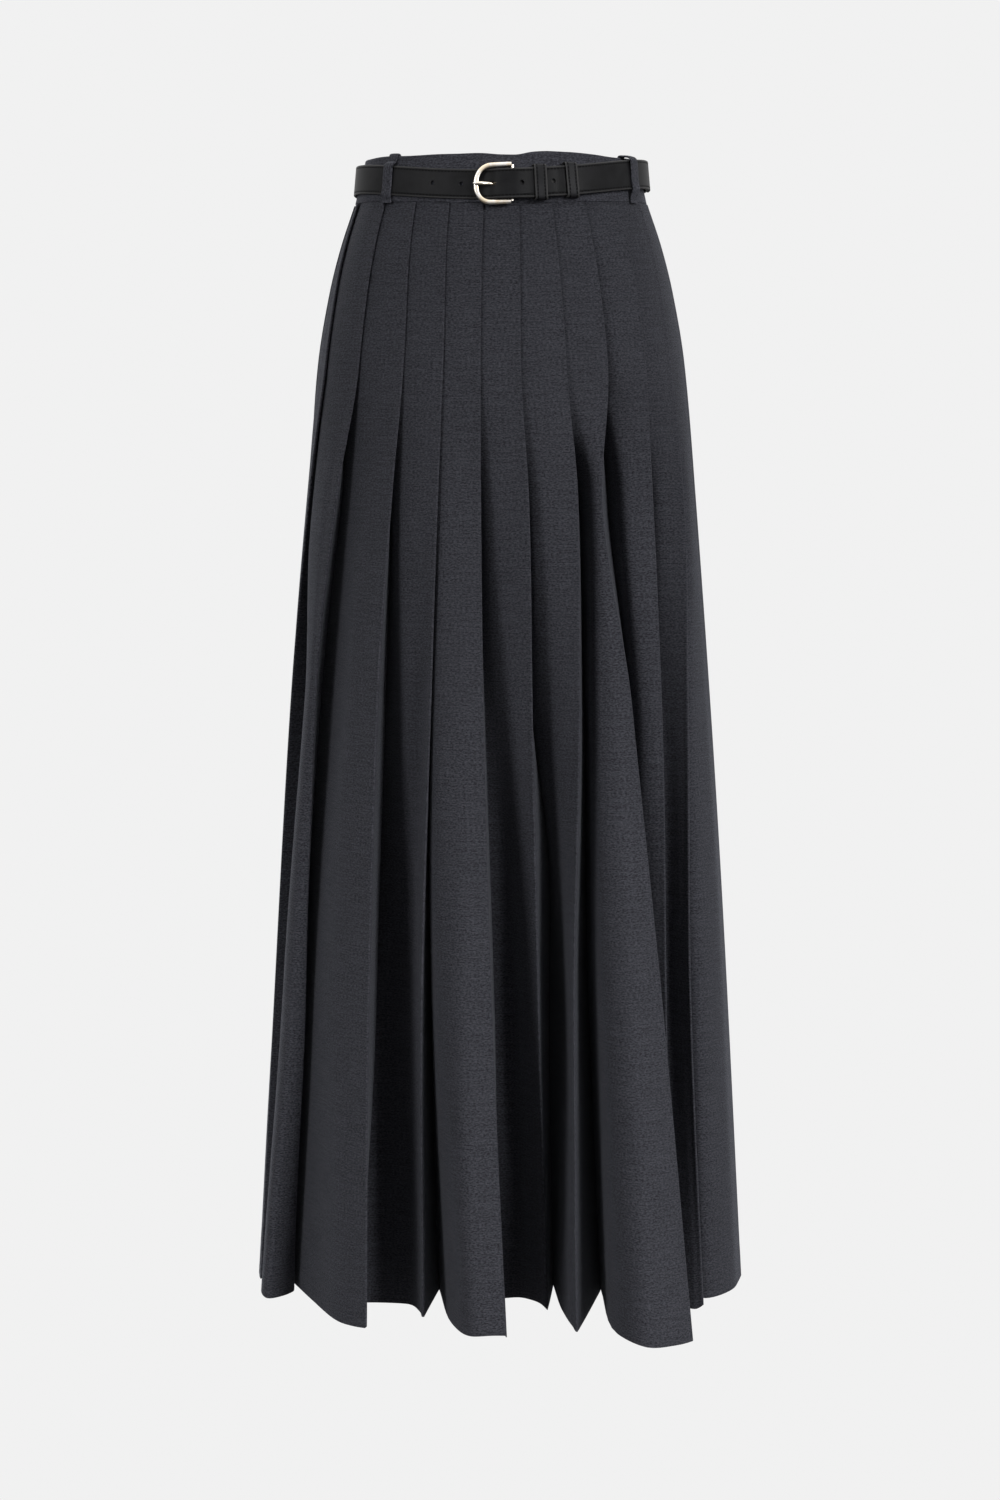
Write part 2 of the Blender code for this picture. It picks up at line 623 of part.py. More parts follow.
def cut(target, tool, how='DIFFERENCE'):
    mod = target.modifiers.new('cut', 'BOOLEAN')
    mod.operation, mod.object, mod.solver = how, tool, 'EXACT'
    bpy.context.view_layer.update()
    graph = bpy.context.evaluated_depsgraph_get()
    mesh = bpy.data.meshes.new_from_object(target.evaluated_get(graph))
    target.modifiers.clear()
    old = target.data
    target.data = mesh
    bpy.data.meshes.remove(old)
    bpy.data.objects.remove(tool)
    bm = bmesh.new()
    bm.from_mesh(mesh)
    bmesh.ops.dissolve_degenerate(bm, edges=bm.edges, dist=2e-6)
    bmesh.ops.triangulate(bm, faces=bm.faces)
    bm.to_mesh(mesh)
    bm.free()


def tube(name, centres, wide, deep, sides, closed=False, sharp=45.0, ends=1.0):
    """A rod of oval section along points; `wide` in the belt's plane."""
    rings = []
    n = len(centres)
    for i, c in enumerate(centres):
        before = centres[i - 1] if closed or i else None
        after = centres[(i + 1) % n] if closed or i < n - 1 else None
        d = ((after or c) - (before or c)).normalized()
        hint = Vector((0, -1, 0))
        side = d.cross(hint).normalized()
        deep_dir = side.cross(d).normalized()
        size = ends if (not closed and i in (0, n - 1)) else 1.0
        rings.append([c + side * wide * size * math.cos(t) + deep_dir * deep * size * math.sin(t)
                      for t in (2 * math.pi * (j + 0.5) / sides for j in range(sides))])
    return loft(name, rings, closed, not closed, sharp)


BUCKLE_HALF_HIGH, BUCKLE_ROD, BUCKLE_DEEP = 15.0, 2.05, 1.6
BUCKLE_LEFT = -20.3      # x of the mid-line of the frame's round end
BUCKLE_TURN = -7.0       # x where the straight arms run into the round end
BUCKLE_ARM = 8.2         # x where the arms end
BUCKLE_TILT = 0.05       # rise of the arms towards the right, per mm


def askew(x):
    return BUCKLE_TILT * (x + 6.0)


def buckle_frame():
    """Horseshoe lying on its side, open to the right, with a bar across."""
    p, along, up, outward = front_frame(-5.0)
    points = [(lerp(BUCKLE_ARM, BUCKLE_TURN, i / 2.0), BUCKLE_HALF_HIGH) for i in range(3)]
    for i in range(1, 16):
        t = math.pi / 2 + math.pi * i / 16
        points.append((BUCKLE_TURN - (BUCKLE_TURN - BUCKLE_LEFT) * abs(math.cos(t)) ** 0.9,
                       BUCKLE_HALF_HIGH * math.copysign(abs(math.sin(t)) ** 0.9, math.sin(t))))
    points += [(lerp(BUCKLE_TURN, BUCKLE_ARM, i / 2.0), -BUCKLE_HALF_HIGH) for i in range(3)]
    centres = []
    for x, h in points:
        level = lerp(5.1, BAR_OUT + 0.2, (x - BUCKLE_LEFT) / (BUCKLE_ARM - BUCKLE_LEFT))
        centres.append(Vector((x, p.y - level, p.z)) + up * (h + askew(x)))
    frame = tube('buckle_frame', centres, BUCKLE_ROD, BUCKLE_DEEP, 10, ends=0.8)
    y = front_frame(BAR_X)[0].y - BAR_OUT
    bar = tube('bar', [Vector((BAR_X * (1 + BAR_OUT / table(OUTLINE, 0, 1)), y, p.z))
                       + up * (side * BUCKLE_HALF_HIGH * 0.97 + askew(BAR_X)) for side in (1, -1)], BAR_R, BAR_R, 10)
    cut(frame, bar, 'UNION')
    frame.data.shade_smooth()
    frame.data.set_sharp_from_angle(angle=math.radians(45))
    return frame


def buckle_prong():
    """Curled round the bar, through the strap's hole, resting on the frame."""
    base = front_frame(BAR_X)[0]
    radius, rod = 2.25, 0.75
    pts = []
    for i in range(9):
        t = math.radians(200 - 245 * i / 8)
        pts.append((BAR_X + radius * math.cos(t), BAR_OUT + radius * math.sin(t)))
    pts = pts[::-1]
    pts[-1] = (BAR_X + radius * math.cos(math.radians(185)), BAR_OUT + radius * math.sin(math.radians(185)) + 0.1)
    for x, out in ((3.0, 3.3), (-2.0, 2.9), (-5.5, 3.2), (-8.5, 4.4), (-12.0, 6.3), (-15.5, 7.6),
                   (-18.5, 8.0), (-21.0, 7.9), (-22.6, 7.35)):
        pts.append((x, out))
    z = front_frame(-5.0)[0].z
    centres = [Vector((x, base.y - out, z)) for x, out in pts]
    rings = []
    n = len(centres)
    for i, c in enumerate(centres):
        d = (centres[min(n - 1, i + 1)] - centres[max(0, i - 1)]).normalized()
        up = Vector((0, 0, 1))
        side = d.cross(up).normalized()
        w = lerp(rod, 1.35, smooth((i - 8) / 3.0)) * (0.55 if i == n - 1 else 1.0)
        k = lerp(rod, 0.85, smooth((i - 8) / 3.0)) * (0.7 if i == n - 1 else 1.0)
        rings.append([c + up * w * math.cos(t) + side * k * math.sin(t)
                      for t in (2 * math.pi * (j + 0.5) / 8 for j in range(8))])
    return loft('buckle_prong', rings, False, True, 50.0)


KEEPERS = (('keeper_fixed', 30.5, 8.3), ('keeper_sliding', 55.5, 6.2))
KEEPER_WIDE, KEEPER_WALL = 10.4, 1.1


def keeper(name, x, face):
    """A leather ring round the strap; `face` is its inner front."""
    back, half = 1.35, KEEPER_WALL / 2
    high = BELT_HALF + 1.25 + half
    lo, hi = back - half - 0.05, face + half
    ring_nz = [(lo, high - 0.8), (lo, -high + 0.8), (lo + 0.8, -high), (hi - 1.4, -high), (hi, -high + 1.6),
               (hi, high - 1.6), (hi - 1.4, high), (lo + 0.8, high)]
    outer, inner = thicken(ring_nz, KEEPER_WALL, closed=True)
    p, along, up, outward = front_frame(x)
    rings = []
    for o, i in zip(outer, inner):
        rings.append([p + along * s * KEEPER_WIDE / 2 + outward * q.x + up * q.y
                      for s, q in ((-1, o), (1, o), (1, i), (-1, i))])
    return loft(name, rings, True, False)


# --------------------------------------------------------------------- build
for stray in list(bpy.data.objects):
    bpy.data.objects.remove(stray)
waist = bpy.data.objects.new('waist', None)
waist.empty_display_size = 0.1
bpy.context.collection.objects.link(waist)

right_seam, left_seam = SIDE_SEAM_FOLDS
skirt_panel('skirt_front', left_seam - PLEATS, right_seam)
skirt_panel('skirt_back', right_seam, left_seam)
waistband()
belt_strap()
for row in KEEPERS:
    keeper(*row)
buckle_frame()
buckle_prong()
for row in LOOPS:
    belt_loop(*row)
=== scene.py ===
"""Pleated maxi skirt in charcoal wool with its own fastened leather belt.

Sizes in the tables are millimetres and degrees; MM turns them into metres.
The front faces -Y, +X is the wearer's left, and z = 0 is half way up the
waistband at the centre front.
"""
import math

import bpy
import numpy as np
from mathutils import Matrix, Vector


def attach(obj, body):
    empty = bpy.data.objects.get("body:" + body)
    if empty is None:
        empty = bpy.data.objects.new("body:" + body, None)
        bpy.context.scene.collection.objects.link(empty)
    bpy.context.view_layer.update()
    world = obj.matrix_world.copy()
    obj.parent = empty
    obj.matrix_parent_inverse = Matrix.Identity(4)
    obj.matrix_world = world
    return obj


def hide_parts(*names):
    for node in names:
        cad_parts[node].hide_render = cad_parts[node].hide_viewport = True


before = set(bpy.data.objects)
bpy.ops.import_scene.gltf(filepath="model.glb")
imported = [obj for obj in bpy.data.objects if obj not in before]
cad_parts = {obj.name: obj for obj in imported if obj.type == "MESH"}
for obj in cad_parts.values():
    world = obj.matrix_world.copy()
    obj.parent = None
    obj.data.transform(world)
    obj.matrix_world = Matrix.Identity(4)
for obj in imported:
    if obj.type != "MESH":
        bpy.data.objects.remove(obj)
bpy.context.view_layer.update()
MM = 0.001

# ---------------------------------------------------------------- sizes (mm)
BAND_HALF, BAND_WALL, FRONT_DIP = 20.0, 2.4, 8.0
HEM_Z = -950.0
CLOTH = 0.75             # wall of the skirt cloth
LAYER = 1.1              # spacing of the folded layers under the waistband
UNDERLAP = 0.70          # share of a pleat's pitch that lies folded underneath
HEM_WALL = 1.0           # wall where the hem is turned up
HEM_TURN = 32.0          # height of the turned hem
GAPE = 0.6               # below 1, an open pleat grows deep before it grows wide
SEAM_GAP = 0.3           # between two pieces that are sewn together
HEM_DROOP = 2.5          # how far the hem waves up and down
SWELL = 1.6              # depth of the slow swells down the pleats' faces
PLEAT_LENGTH = 170.0     # cloth from one crease to the next, for the weave's map alone

OUTLINE = (  # z, half width, half depth of the outer creases
    (20.0, 115.0, 89.0),
    (-20.0, 124.0, 92.5),
    (-55.0, 136.2, 102.0),
    (-90.0, 145.5, 109.0),
    (-150.0, 156.3, 118.0),
    (-260.0, 166.5, 127.0),
    (-570.0, 190.5, 146.0),
    (-950.0, 214.0, 165.0),
)
STAGES = (0.0, 0.14, 0.258, 0.44, 0.71, 1.0)   # seam, hip, thigh, knee, shin, hem

# Folds that show from the front, left to right.  Angles of the outer crease by
# stage, the share of the length where the pleat opens, and the hem's plan:
# shoulder, crown, crease, and the valley right of the crease (x, towards us).
SEEN = (
    # seam   hip   opens   shoulder     crown        crease       valley, at the hem
    (-75.5, -70.0, 0.14, (-214, -52), (-224, -34), (-214, -10), (-190, -6)),
    (-51.1, -48.8, 0.15, (-209, 26), (-203, 46), (-182, 28), (-188, 2)),
    (-34.7, -30.8, 0.21, (-163, 56), (-138, 106), (-113, 133), (-122, 62)),
    (-20.2, -17.7, 0.27, (-107, 56), (-79, 64), (-66, 109), (-54, 24)),
    (-6.9, -6.3, 0.255, (-45, 127), (-25, 161), (4, 156), (-3, 46)),
    (6.5, 5.7, 0.25, (14, 50), (28, 66), (39, 79), (46, 14)),
    (19.2, 19.6, 0.18, (52, 88), (57, 118), (63, 133), (87, 32)),
    (33.1, 33.7, 0.135, (97, 153), (120, 179), (158, 156), (104, 92)),
    (50.4, 49.3, 0.13, (122, 100), (136, 102), (143, 98), (136, 60)),
    (68.6, 64.9, 0.13, (150, 64), (165, 73), (173, 76), (166, 36)),
    (83.5, 83.0, 0.14, (178, 44), (202, 25), (213, -4), (192, -12)),
)
# Plan of the same folds between hip and hem: crease, the valley right of it
# and the left edge of the next panel.
PLANS = (
    # crease, valley, edge at the thigh, then at the knee, then at the shin
    ((-163, 24), (-157, 12), (-160, 29), (-181, 5), (-164, -6), (-167, 42),
     (-198, -5), (-178, -8), (-187, 45)),
    ((-137, 71), (-134, 36), (-126, 60), (-157, 60), (-154, 24), (-142, 46),
     (-167, 62), (-172, 20), (-162, 48)),
    ((-90, 107), (-93, 76), (-84, 98), (-102, 115), (-97, 60), (-80, 98),
     (-110, 126), (-106, 66), (-93, 66)),
    ((-52, 121), (-65, 105), (-48, 119), (-58, 124), (-60, 96), (-54, 123),
     (-66, 121), (-60, 56), (-55, 126)),
    ((-17, 126), (-21, 103), (-12, 114), (-15, 136), (-14, 98), (-4, 106),
     (-8, 148), (-6, 72), (8, 72)),
    ((22, 126), (18, 106), (26, 114), (25, 126), (25, 92), (32, 101),
     (31, 110), (42, 24), (53, 72)),
    ((62, 118), (64, 76), (74, 102), (64, 126), (70, 58), (77, 108),
     (60, 132), (75, 32), (85, 132)),
    ((82, 110), (89, 58), (101, 85), (107, 115), (106, 74), (115, 92),
     (133, 135), (108, 84), (118, 84)),
    ((125, 84), (122, 52), (131, 57), (133, 91), (132, 52), (138, 54),
     (138, 99), (137, 58), (145, 57)),
    ((153, 50), (146, 42), (157, 34), (157, 64), (154, 50), (162, 46),
     (160, 79), (157, 56), (167, 58)),
)
SHARP_AT_HIP = {7: ((-1.5, 22.0), (3.0, 14.0))}     # valley and edge of the pleat that bursts open
PLEATS = 24
HEM_FIRST, HEM_STEP = 89.5, 11.9    # outer creases on the hidden side at the hem, degrees
SIDE_CREASE = (85.0, 87.0, 89.0)    # the last seen crease at thigh, knee and shin
SIDE_SEAM_FOLDS = (10, 23)          # the seams lie inside these pleats
MM_PER_DEGREE = 3.3      # round the hem


# ------------------------------------------------------------- small helpers
def lerp(a, b, t):
    return a + (b - a) * t


def smooth(t):
    t = max(0.0, min(1.0, t))
    return t * t * (3.0 - 2.0 * t)


def table(rows, key, col):
    rising = rows[-1][0] > rows[0][0]
    if (key <= rows[0][0]) if rising else (key >= rows[0][0]):
        return rows[0][col]
    for lo, hi in zip(rows, rows[1:]):
        if (lo[0] <= key <= hi[0]) if rising else (lo[0] >= key >= hi[0]):
            return lerp(lo[col], hi[col], (key - lo[0]) / (hi[0] - lo[0]))
    return rows[-1][col]


def curve(keys, values, at):
    """A smooth curve through a short table, with no overshoot."""
    n = len(keys)
    slopes = [(values[i + 1] - values[i]) / (keys[i + 1] - keys[i]) for i in range(n - 1)]
    bend = [slopes[0]] + [0.0 if a * b <= 0 else 2 * a * b / (a + b)
                          for a, b in zip(slopes, slopes[1:])] + [slopes[-1]]
    for i in range(n - 1):
        if at <= keys[i + 1] or i == n - 2:
            h = keys[i + 1] - keys[i]
            t = max(0.0, min(1.0, (at - keys[i]) / h))
            return ((2 * t ** 3 - 3 * t ** 2 + 1) * values[i]
                    + (t ** 3 - 2 * t ** 2 + t) * h * bend[i]
                    + (3 * t ** 2 - 2 * t ** 3) * values[i + 1]
                    + (t ** 3 - t ** 2) * h * bend[i + 1])


OUT_Z = [-row[0] for row in OUTLINE[1:]]
OUT_A = [row[1] for row in OUTLINE[1:]]
OUT_B = [row[2] for row in OUTLINE[1:]]


def outline(z):
    if z < -BAND_HALF:
        return curve(OUT_Z, OUT_A, -z), curve(OUT_Z, OUT_B, -z)
    return table(OUTLINE, z, 1), table(OUTLINE, z, 2)


def side_share(phi):
    return 1.0 if math.cos(math.radians(phi)) < 0 else math.sin(math.radians(phi)) ** 2


def waist_lift(phi):
    return FRONT_DIP * side_share(phi)


def to_ring(x, d, z):
    a, b = outline(z)
    lo, hi = -120.0, min(a, b) - 1.0
    for _ in range(60):
        n = (lo + hi) / 2
        if (x / (a - n)) ** 2 + (d / (b - n)) ** 2 < 1.0:
            lo = n
        else:
            hi = n
    return math.degrees(math.atan2(x / (a - n), d / (b - n))), n


# ------------------------------------------------------- the pleats' sections
def opened(row, share):
    return max(0.0, (share - row['opens']) / (1.0 - row['opens'])) ** 1.15


def way_along(start, point, end):
    """How far a mark lies on the way from one mark to another."""
    sizes = (MM_PER_DEGREE, 1.0)
    way = [(e - s) * size for s, e, size in zip(start, end, sizes)]
    step = [(p - s) * size for s, p, size in zip(start, point, sizes)]
    return sum(u * v for u, v in zip(step, way)) / sum(v * v for v in way)


def fold_rows():
    """One row per pleat: at each stage its crease, and the valley and the next
    panel's left edge, both counted from the crease."""
    rows = []
    for k, (seam, hip, opens, *plan) in enumerate(SEEN):
        hem = [to_ring(x, d, HEM_Z) for x, d in plan]
        row = dict(opens=opens, shoulder=hem[0], crown=hem[1], crease=hem[2], valley=hem[3])
        row['known'] = {stage: [to_ring(x, d, lerp(-BAND_HALF, HEM_Z, STAGES[stage]))
                                for x, d in PLANS[k][3 * stage - 6:3 * stage - 3]]
                        for stage in (2, 3, 4)} if k < len(PLANS) else {}
        between = ([row['known'][stage][0][0] for stage in (2, 3, 4)]
                   if k < len(PLANS) else SIDE_CREASE)
        row['stages'] = [seam, hip, *between, hem[2][0]]
        rows.append(row)
    for k in range(len(SEEN), PLEATS):
        step = k - (len(SEEN) - 1)
        seam = SEEN[-1][0] + step * (360.0 - SEEN[-1][0] + SEEN[0][0]) / (PLEATS - len(SEEN) + 1)
        hem = HEM_FIRST + step * HEM_STEP + 1.6 * math.sin(2.1 * k)
        depth = 60.0 + 14.0 * math.sin(1.9 * k + 0.6)
        inset = 5.0 + 5.0 * math.sin(2.7 * k)
        turn = 1.5 + 3.5 * math.sin(1.3 * k)
        share = [0.0, 0.05, 0.32, 0.62, 0.86]
        rows.append(dict(stages=[lerp(seam, hem, s) for s in share] + [hem],
                         opens=0.16 + 0.06 * math.sin(2.4 * k), crease=(hem, inset),
                         valley=(hem + turn, inset + depth), shoulder=None, crown=None, known={}))
    for k, row in enumerate(rows):
        before = rows[k - 1]
        left = before['crease'][0] - (360.0 if k == 0 else 0.0)
        if row['shoulder'] is None:
            low = before['valley']
            row['shoulder'] = (lerp(max(low[0], left), row['crease'][0], 0.30), 0.36 * low[1])
            row['crown'] = (lerp(low[0], row['crease'][0], 0.74), row['crease'][1] - 3.0)
        marks = row['shoulder'], row['crown'], row['crease']
        row['reach'] = way_along(*marks)
        row['bulge'] = [c - lerp(s, r, row['reach']) for s, c, r in zip(*marks)]
    for k, row in enumerate(rows):
        before, after = rows[k - 1], rows[(k + 1) % PLEATS]
        turn = row['valley'][0] - row['crease'][0]
        edge = after['shoulder'][0] - row['crease'][0] + (360.0 if k == PLEATS - 1 else 0.0)
        marks = [[], [], [], [], []]
        for stage, share in enumerate(STAGES):
            here = row['stages'][stage]
            pitch = here - before['stages'][stage] + (360.0 if k == 0 else 0.0)
            ahead = after['stages'][stage] - here + (360.0 if k == PLEATS - 1 else 0.0)
            e = opened(row, share)
            if stage in row['known']:
                crease, valley, lip = row['known'][stage]
                values = crease[1], valley[0] - here, valley[1], lip[0] - here, lip[1]
            elif stage == 1 and k in SHARP_AT_HIP:
                valley, lip = SHARP_AT_HIP[k]
                values = 0.0, valley[0], valley[1], lip[0], lip[1]
            else:
                values = (row['crease'][1] * e, lerp(-UNDERLAP * pitch, turn, e),
                          lerp(3.3 * LAYER, row['valley'][1], e ** GAPE),
                          lerp(0.13 * ahead, edge, e),
                          lerp(2.0 * LAYER, after['shoulder'][1], e ** GAPE))
            for column, value in zip(marks, values):
                column.append(value)
        row['crease_in'], row['turn'], row['deep'], row['edge'], row['edge_in'] = marks
    return rows


FOLDS = fold_rows()


def crease_angle(k, share):
    return (k // PLEATS) * 360.0 + curve(STAGES, FOLDS[k % PLEATS]['stages'], share)


def at_stage(row, column, share):
    return curve(STAGES, row[column], share)


def fold_marks(k, share):
    """Shoulder, crown, crease and valley of pleat k: (angle, inset) each."""
    row, before = FOLDS[k % PLEATS], FOLDS[(k - 1) % PLEATS]
    e = opened(row, share)
    left, here = crease_angle(k - 1, share), crease_angle(k, share)
    shoulder = (left + at_stage(before, 'edge', share), at_stage(before, 'edge_in', share))
    crease = (here, at_stage(row, 'crease_in', share))
    valley = (here + at_stage(row, 'turn', share), at_stage(row, 'deep', share))
    # the face stays outside its own return, and under the crease before it
    held = 1.0 - smooth(0.5 + at_stage(before, 'turn', share) / 3.0)
    over = at_stage(before, 'crease_in', share) + 2.0 * LAYER
    shoulder = (shoulder[0], lerp(shoulder[1], max(shoulder[1], over), held))
    reach = lerp(0.55, row['reach'], e)
    crown = tuple(lerp(s, r, reach) + e * more
                  for s, r, more in zip(shoulder, crease, row['bulge']))
    kept = []
    for angle, inset in (crown, shoulder):
        if angle > valley[0]:
            way = (here - angle) / (here - valley[0])
            under = lerp(crease[1] + 0.8 * LAYER, valley[1] - LAYER / 2, way)
            inset = min(inset, under - 1.25 * LAYER)
        elif kept and kept[0][0] > valley[0]:
            top, reach = kept[0][1], (kept[0][0] - angle) / (kept[0][0] - valley[0])
            inset = min(inset, top + (valley[1] - 2.0 * LAYER - top) * reach)
        kept.append((angle, inset))
    return kept[1], kept[0], crease, valley


def spline(points, counts):
    """Points along a smooth curve through plan points, `counts` per stretch."""
    pts = [np.array(p) for p in points]
    pts = [2 * pts[0] - pts[1]] + pts + [2 * pts[-1] - pts[-2]]
    out = []
    for i, count in enumerate(counts):
        p0, p1, p2, p3 = pts[i:i + 4]
        pairs = (p0, p1), (p1, p2), (p2, p3)
        d = [max(1e-4, np.linalg.norm(b - a)) ** 0.5 for a, b in pairs]
        m1 = (p1 - p0) / d[0] - (p2 - p0) / (d[0] + d[1]) + (p2 - p1) / d[1]
        m2 = (p2 - p1) / d[1] - (p3 - p1) / (d[1] + d[2]) + (p3 - p2) / d[2]
        m1, m2 = m1 * d[1], m2 * d[1]
        for j in range(count):
            t = j / count
            out.append((2 * t ** 3 - 3 * t ** 2 + 1) * p1 + (t ** 3 - 2 * t ** 2 + t) * m1
                       + (3 * t ** 2 - 2 * t ** 3) * p2 + (t ** 3 - t ** 2) * m2)
    return out


FACE_STEPS, RETURN_STEPS, HAIRPIN_STEPS = (6, 7, 5, 4), (4, 4), 4
FOLD_POINTS = sum(FACE_STEPS) + sum(RETURN_STEPS) + 2 * HAIRPIN_STEPS


def hairpin(before, tip, after, left_turn):
    u, v = tip - before, after - tip
    u, v = u / np.linalg.norm(u), v / np.linalg.norm(v)
    out = u - v
    out = out / np.linalg.norm(out) if np.linalg.norm(out) > 1e-6 else u
    side = np.array((-out[1], out[0])) * (LAYER / 2.0) * (1.0 if left_turn else -1.0)
    return tip - side, tip + side, out


def half_turn(a, b, out, steps):
    """The rounded end of a fold, from corner a to corner b round the tip."""
    middle, side = (a + b) / 2, (a - b) / 2
    reach = out * np.linalg.norm(side) * 0.9
    turns = [math.pi * i / steps for i in range(steps)]
    return [middle + side * math.cos(t) + reach * math.sin(t) - reach * 0.5 for t in turns]


def section(share, first, last):
    """Mid-line from inside pleat `first` to inside pleat `last`: x, y and the
    distance along the cloth from the pleat's own crease."""
    z = lerp(-BAND_HALF, HEM_Z, share)
    a, b = outline(z)

    def place(mark):
        r = math.radians(mark[0])
        return np.array(((a - mark[1]) * math.sin(r), -(b - mark[1]) * math.cos(r)))

    marks = {k: fold_marks(k % PLEATS, share) for k in range(first - 1, last + 2)}
    points, along = [], []
    for k in range(first, last + 1):
        S, C, R, V = (place(m) for m in marks[k])
        VB, RB = place(marks[k - 1][3]), place(marks[k - 1][2])
        nxt = place(marks[k + 1][0])
        near = lerp(R, C, 0.42)
        near = near + (C - S) / np.linalg.norm(C - S) * np.linalg.norm(R - C) * 0.06
        mid = lerp(R, V, 0.5)
        _, vb, _ = hairpin(lerp(RB, VB, 0.5), VB, S, False)
        ra, rb, r_out = hairpin(near, R, mid, True)
        va, vb_next, n_out = hairpin(mid, V, nxt, False)
        face = spline((vb, S, C, near, ra), FACE_STEPS)
        e = opened(FOLDS[k % PLEATS], share)
        normal = np.array((C[0] / a ** 2, C[1] / b ** 2))
        normal /= np.linalg.norm(normal)
        for i in range(len(face)):          # slow swells down the face
            t = i / len(face)
            swell = math.sin(math.pi * t) ** 2 * (0.42 + e) * SWELL
            face[i] = face[i] + normal * swell * (math.sin(7.3 * share + 2.1 * k) * 0.6
                                                  + math.sin(15.1 * share + 4.7 * k + 3 * t) * 0.4)
        back = spline((rb, mid, va), RETURN_STEPS)
        run = (face + half_turn(ra, rb, r_out, HAIRPIN_STEPS)
               + back + half_turn(va, vb_next, n_out, HAIRPIN_STEPS))
        steps = [0.0]
        for p, q in zip(run, run[1:]):
            steps.append(steps[-1] + float(np.linalg.norm(q - p)))
        zero = steps[len(face)]
        points += run
        along += [s - zero + PLEAT_LENGTH * k for s in steps]
    start = sum(FACE_STEPS) + HAIRPIN_STEPS + RETURN_STEPS[0]
    count = (last - first) * FOLD_POINTS
    points, along = points[start:start + count + 1], along[start:start + count + 1]
    for end, near_end in ((0, 1), (-1, -2)):
        step = points[near_end] - points[end]
        points[end] = points[end] + step / np.linalg.norm(step) * SEAM_GAP / 2
    return points, along


# --------------------------------------------------------- modelling helpers
def alone(obj):
    bpy.ops.object.select_all(action='DESELECT')
    obj.select_set(True)
    bpy.context.view_layer.objects.active = obj


SMOOTH_CLOTH, SMOOTH_LEATHER, SMOOTH_METAL = 50.0, 40.0, 60.0   # steepest smooth edge, degrees


def turn_outwards(obj, merged=False):
    """Makes a closed skin's faces point outwards, its doubles merged first."""
    alone(obj)
    bpy.ops.object.mode_set(mode='EDIT')
    bpy.ops.mesh.select_all(action='SELECT')
    if merged:
        bpy.ops.mesh.remove_doubles(threshold=1e-6)
    bpy.ops.mesh.normals_make_consistent(inside=False)
    bpy.ops.object.mode_set(mode='OBJECT')


def shaped_grid(name, across, up, place):
    """A grid primitive laid over a surface: place(i, j) gives the point and
    the cloth coordinates (metres) of column i and row j."""
    bpy.ops.object.select_all(action='DESELECT')
    bpy.ops.mesh.primitive_grid_add(x_subdivisions=across, y_subdivisions=up,
                                    size=1.0, calc_uvs=True)
    obj = bpy.context.object
    obj.name = name
    obj.data.name = name
    mesh = obj.data
    n = len(mesh.vertices)
    co = np.empty(n * 3)
    mesh.vertices.foreach_get('co', co)
    co = co.reshape(n, 3)
    col = np.rint((co[:, 0] + 0.5) * across).astype(int)
    row = np.rint((co[:, 1] + 0.5) * up).astype(int)
    uv = np.empty((n, 2))
    for v in range(n):
        p, q = place(int(col[v]), int(row[v]))
        co[v] = p
        uv[v] = q
    mesh.vertices.foreach_set('co', co.ravel())
    index = np.empty(len(mesh.loops), dtype=int)
    mesh.loops.foreach_get('vertex_index', index)
    mesh.uv_layers.active.data.foreach_set('uv', uv[index].ravel())
    mesh.update()
    return obj


def walled(obj, thickness, group, thin):
    """Gives a sheet its wall, which is `thin` times as thick outside the group."""
    mod = obj.modifiers.new('wall', 'SOLIDIFY')
    mod.thickness, mod.offset, mod.use_even_offset = thickness, 0.0, False
    mod.vertex_group, mod.thickness_vertex_group = group, thin
    alone(obj)
    bpy.ops.object.modifier_apply(modifier='wall')
    bpy.ops.object.shade_smooth_by_angle(angle=math.radians(SMOOTH_CLOTH))


def finish_piece(obj, material, node):
    obj.data.materials.clear()
    obj.data.materials.append(material)
    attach(obj, 'root')
    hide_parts(node)
    return obj


# ------------------------------------------------------------ shader helpers
class Sock:
    """A shader value that takes part in Python arithmetic."""

    def __init__(self, sheet, socket):
        self.sheet, self.socket = sheet, socket

    def _do(self, how, a, b=None):
        return self.sheet.node('ShaderNodeMath', {'operation': how},
                               {0: a} if b is None else {0: a, 1: b})

    def __add__(self, o):
        return self._do('ADD', self, o)

    __radd__ = __add__

    def __mul__(self, o):
        return self._do('MULTIPLY', self, o)

    __rmul__ = __mul__

    def __sub__(self, o):
        return self._do('SUBTRACT', self, o)

    def __rsub__(self, o):
        return self._do('SUBTRACT', o, self)

    def __truediv__(self, o):
        return self._do('DIVIDE', self, o)

    def __rtruediv__(self, o):
        return self._do('DIVIDE', o, self)

    def sine(self):
        return self._do('SINE', self)

    def size(self):
        return self._do('ABSOLUTE', self)

    def part(self):
        return self._do('FRACT', self)

    def ease(self, lo, hi):
        """A soft step from 0 at lo to 1 at hi."""
        return self.sheet.node('ShaderNodeMapRange', {'interpolation_type': 'SMOOTHSTEP'},
                               {'Value': self, 'From Min': lo, 'From Max': hi,
                                'To Min': 0.0, 'To Max': 1.0})


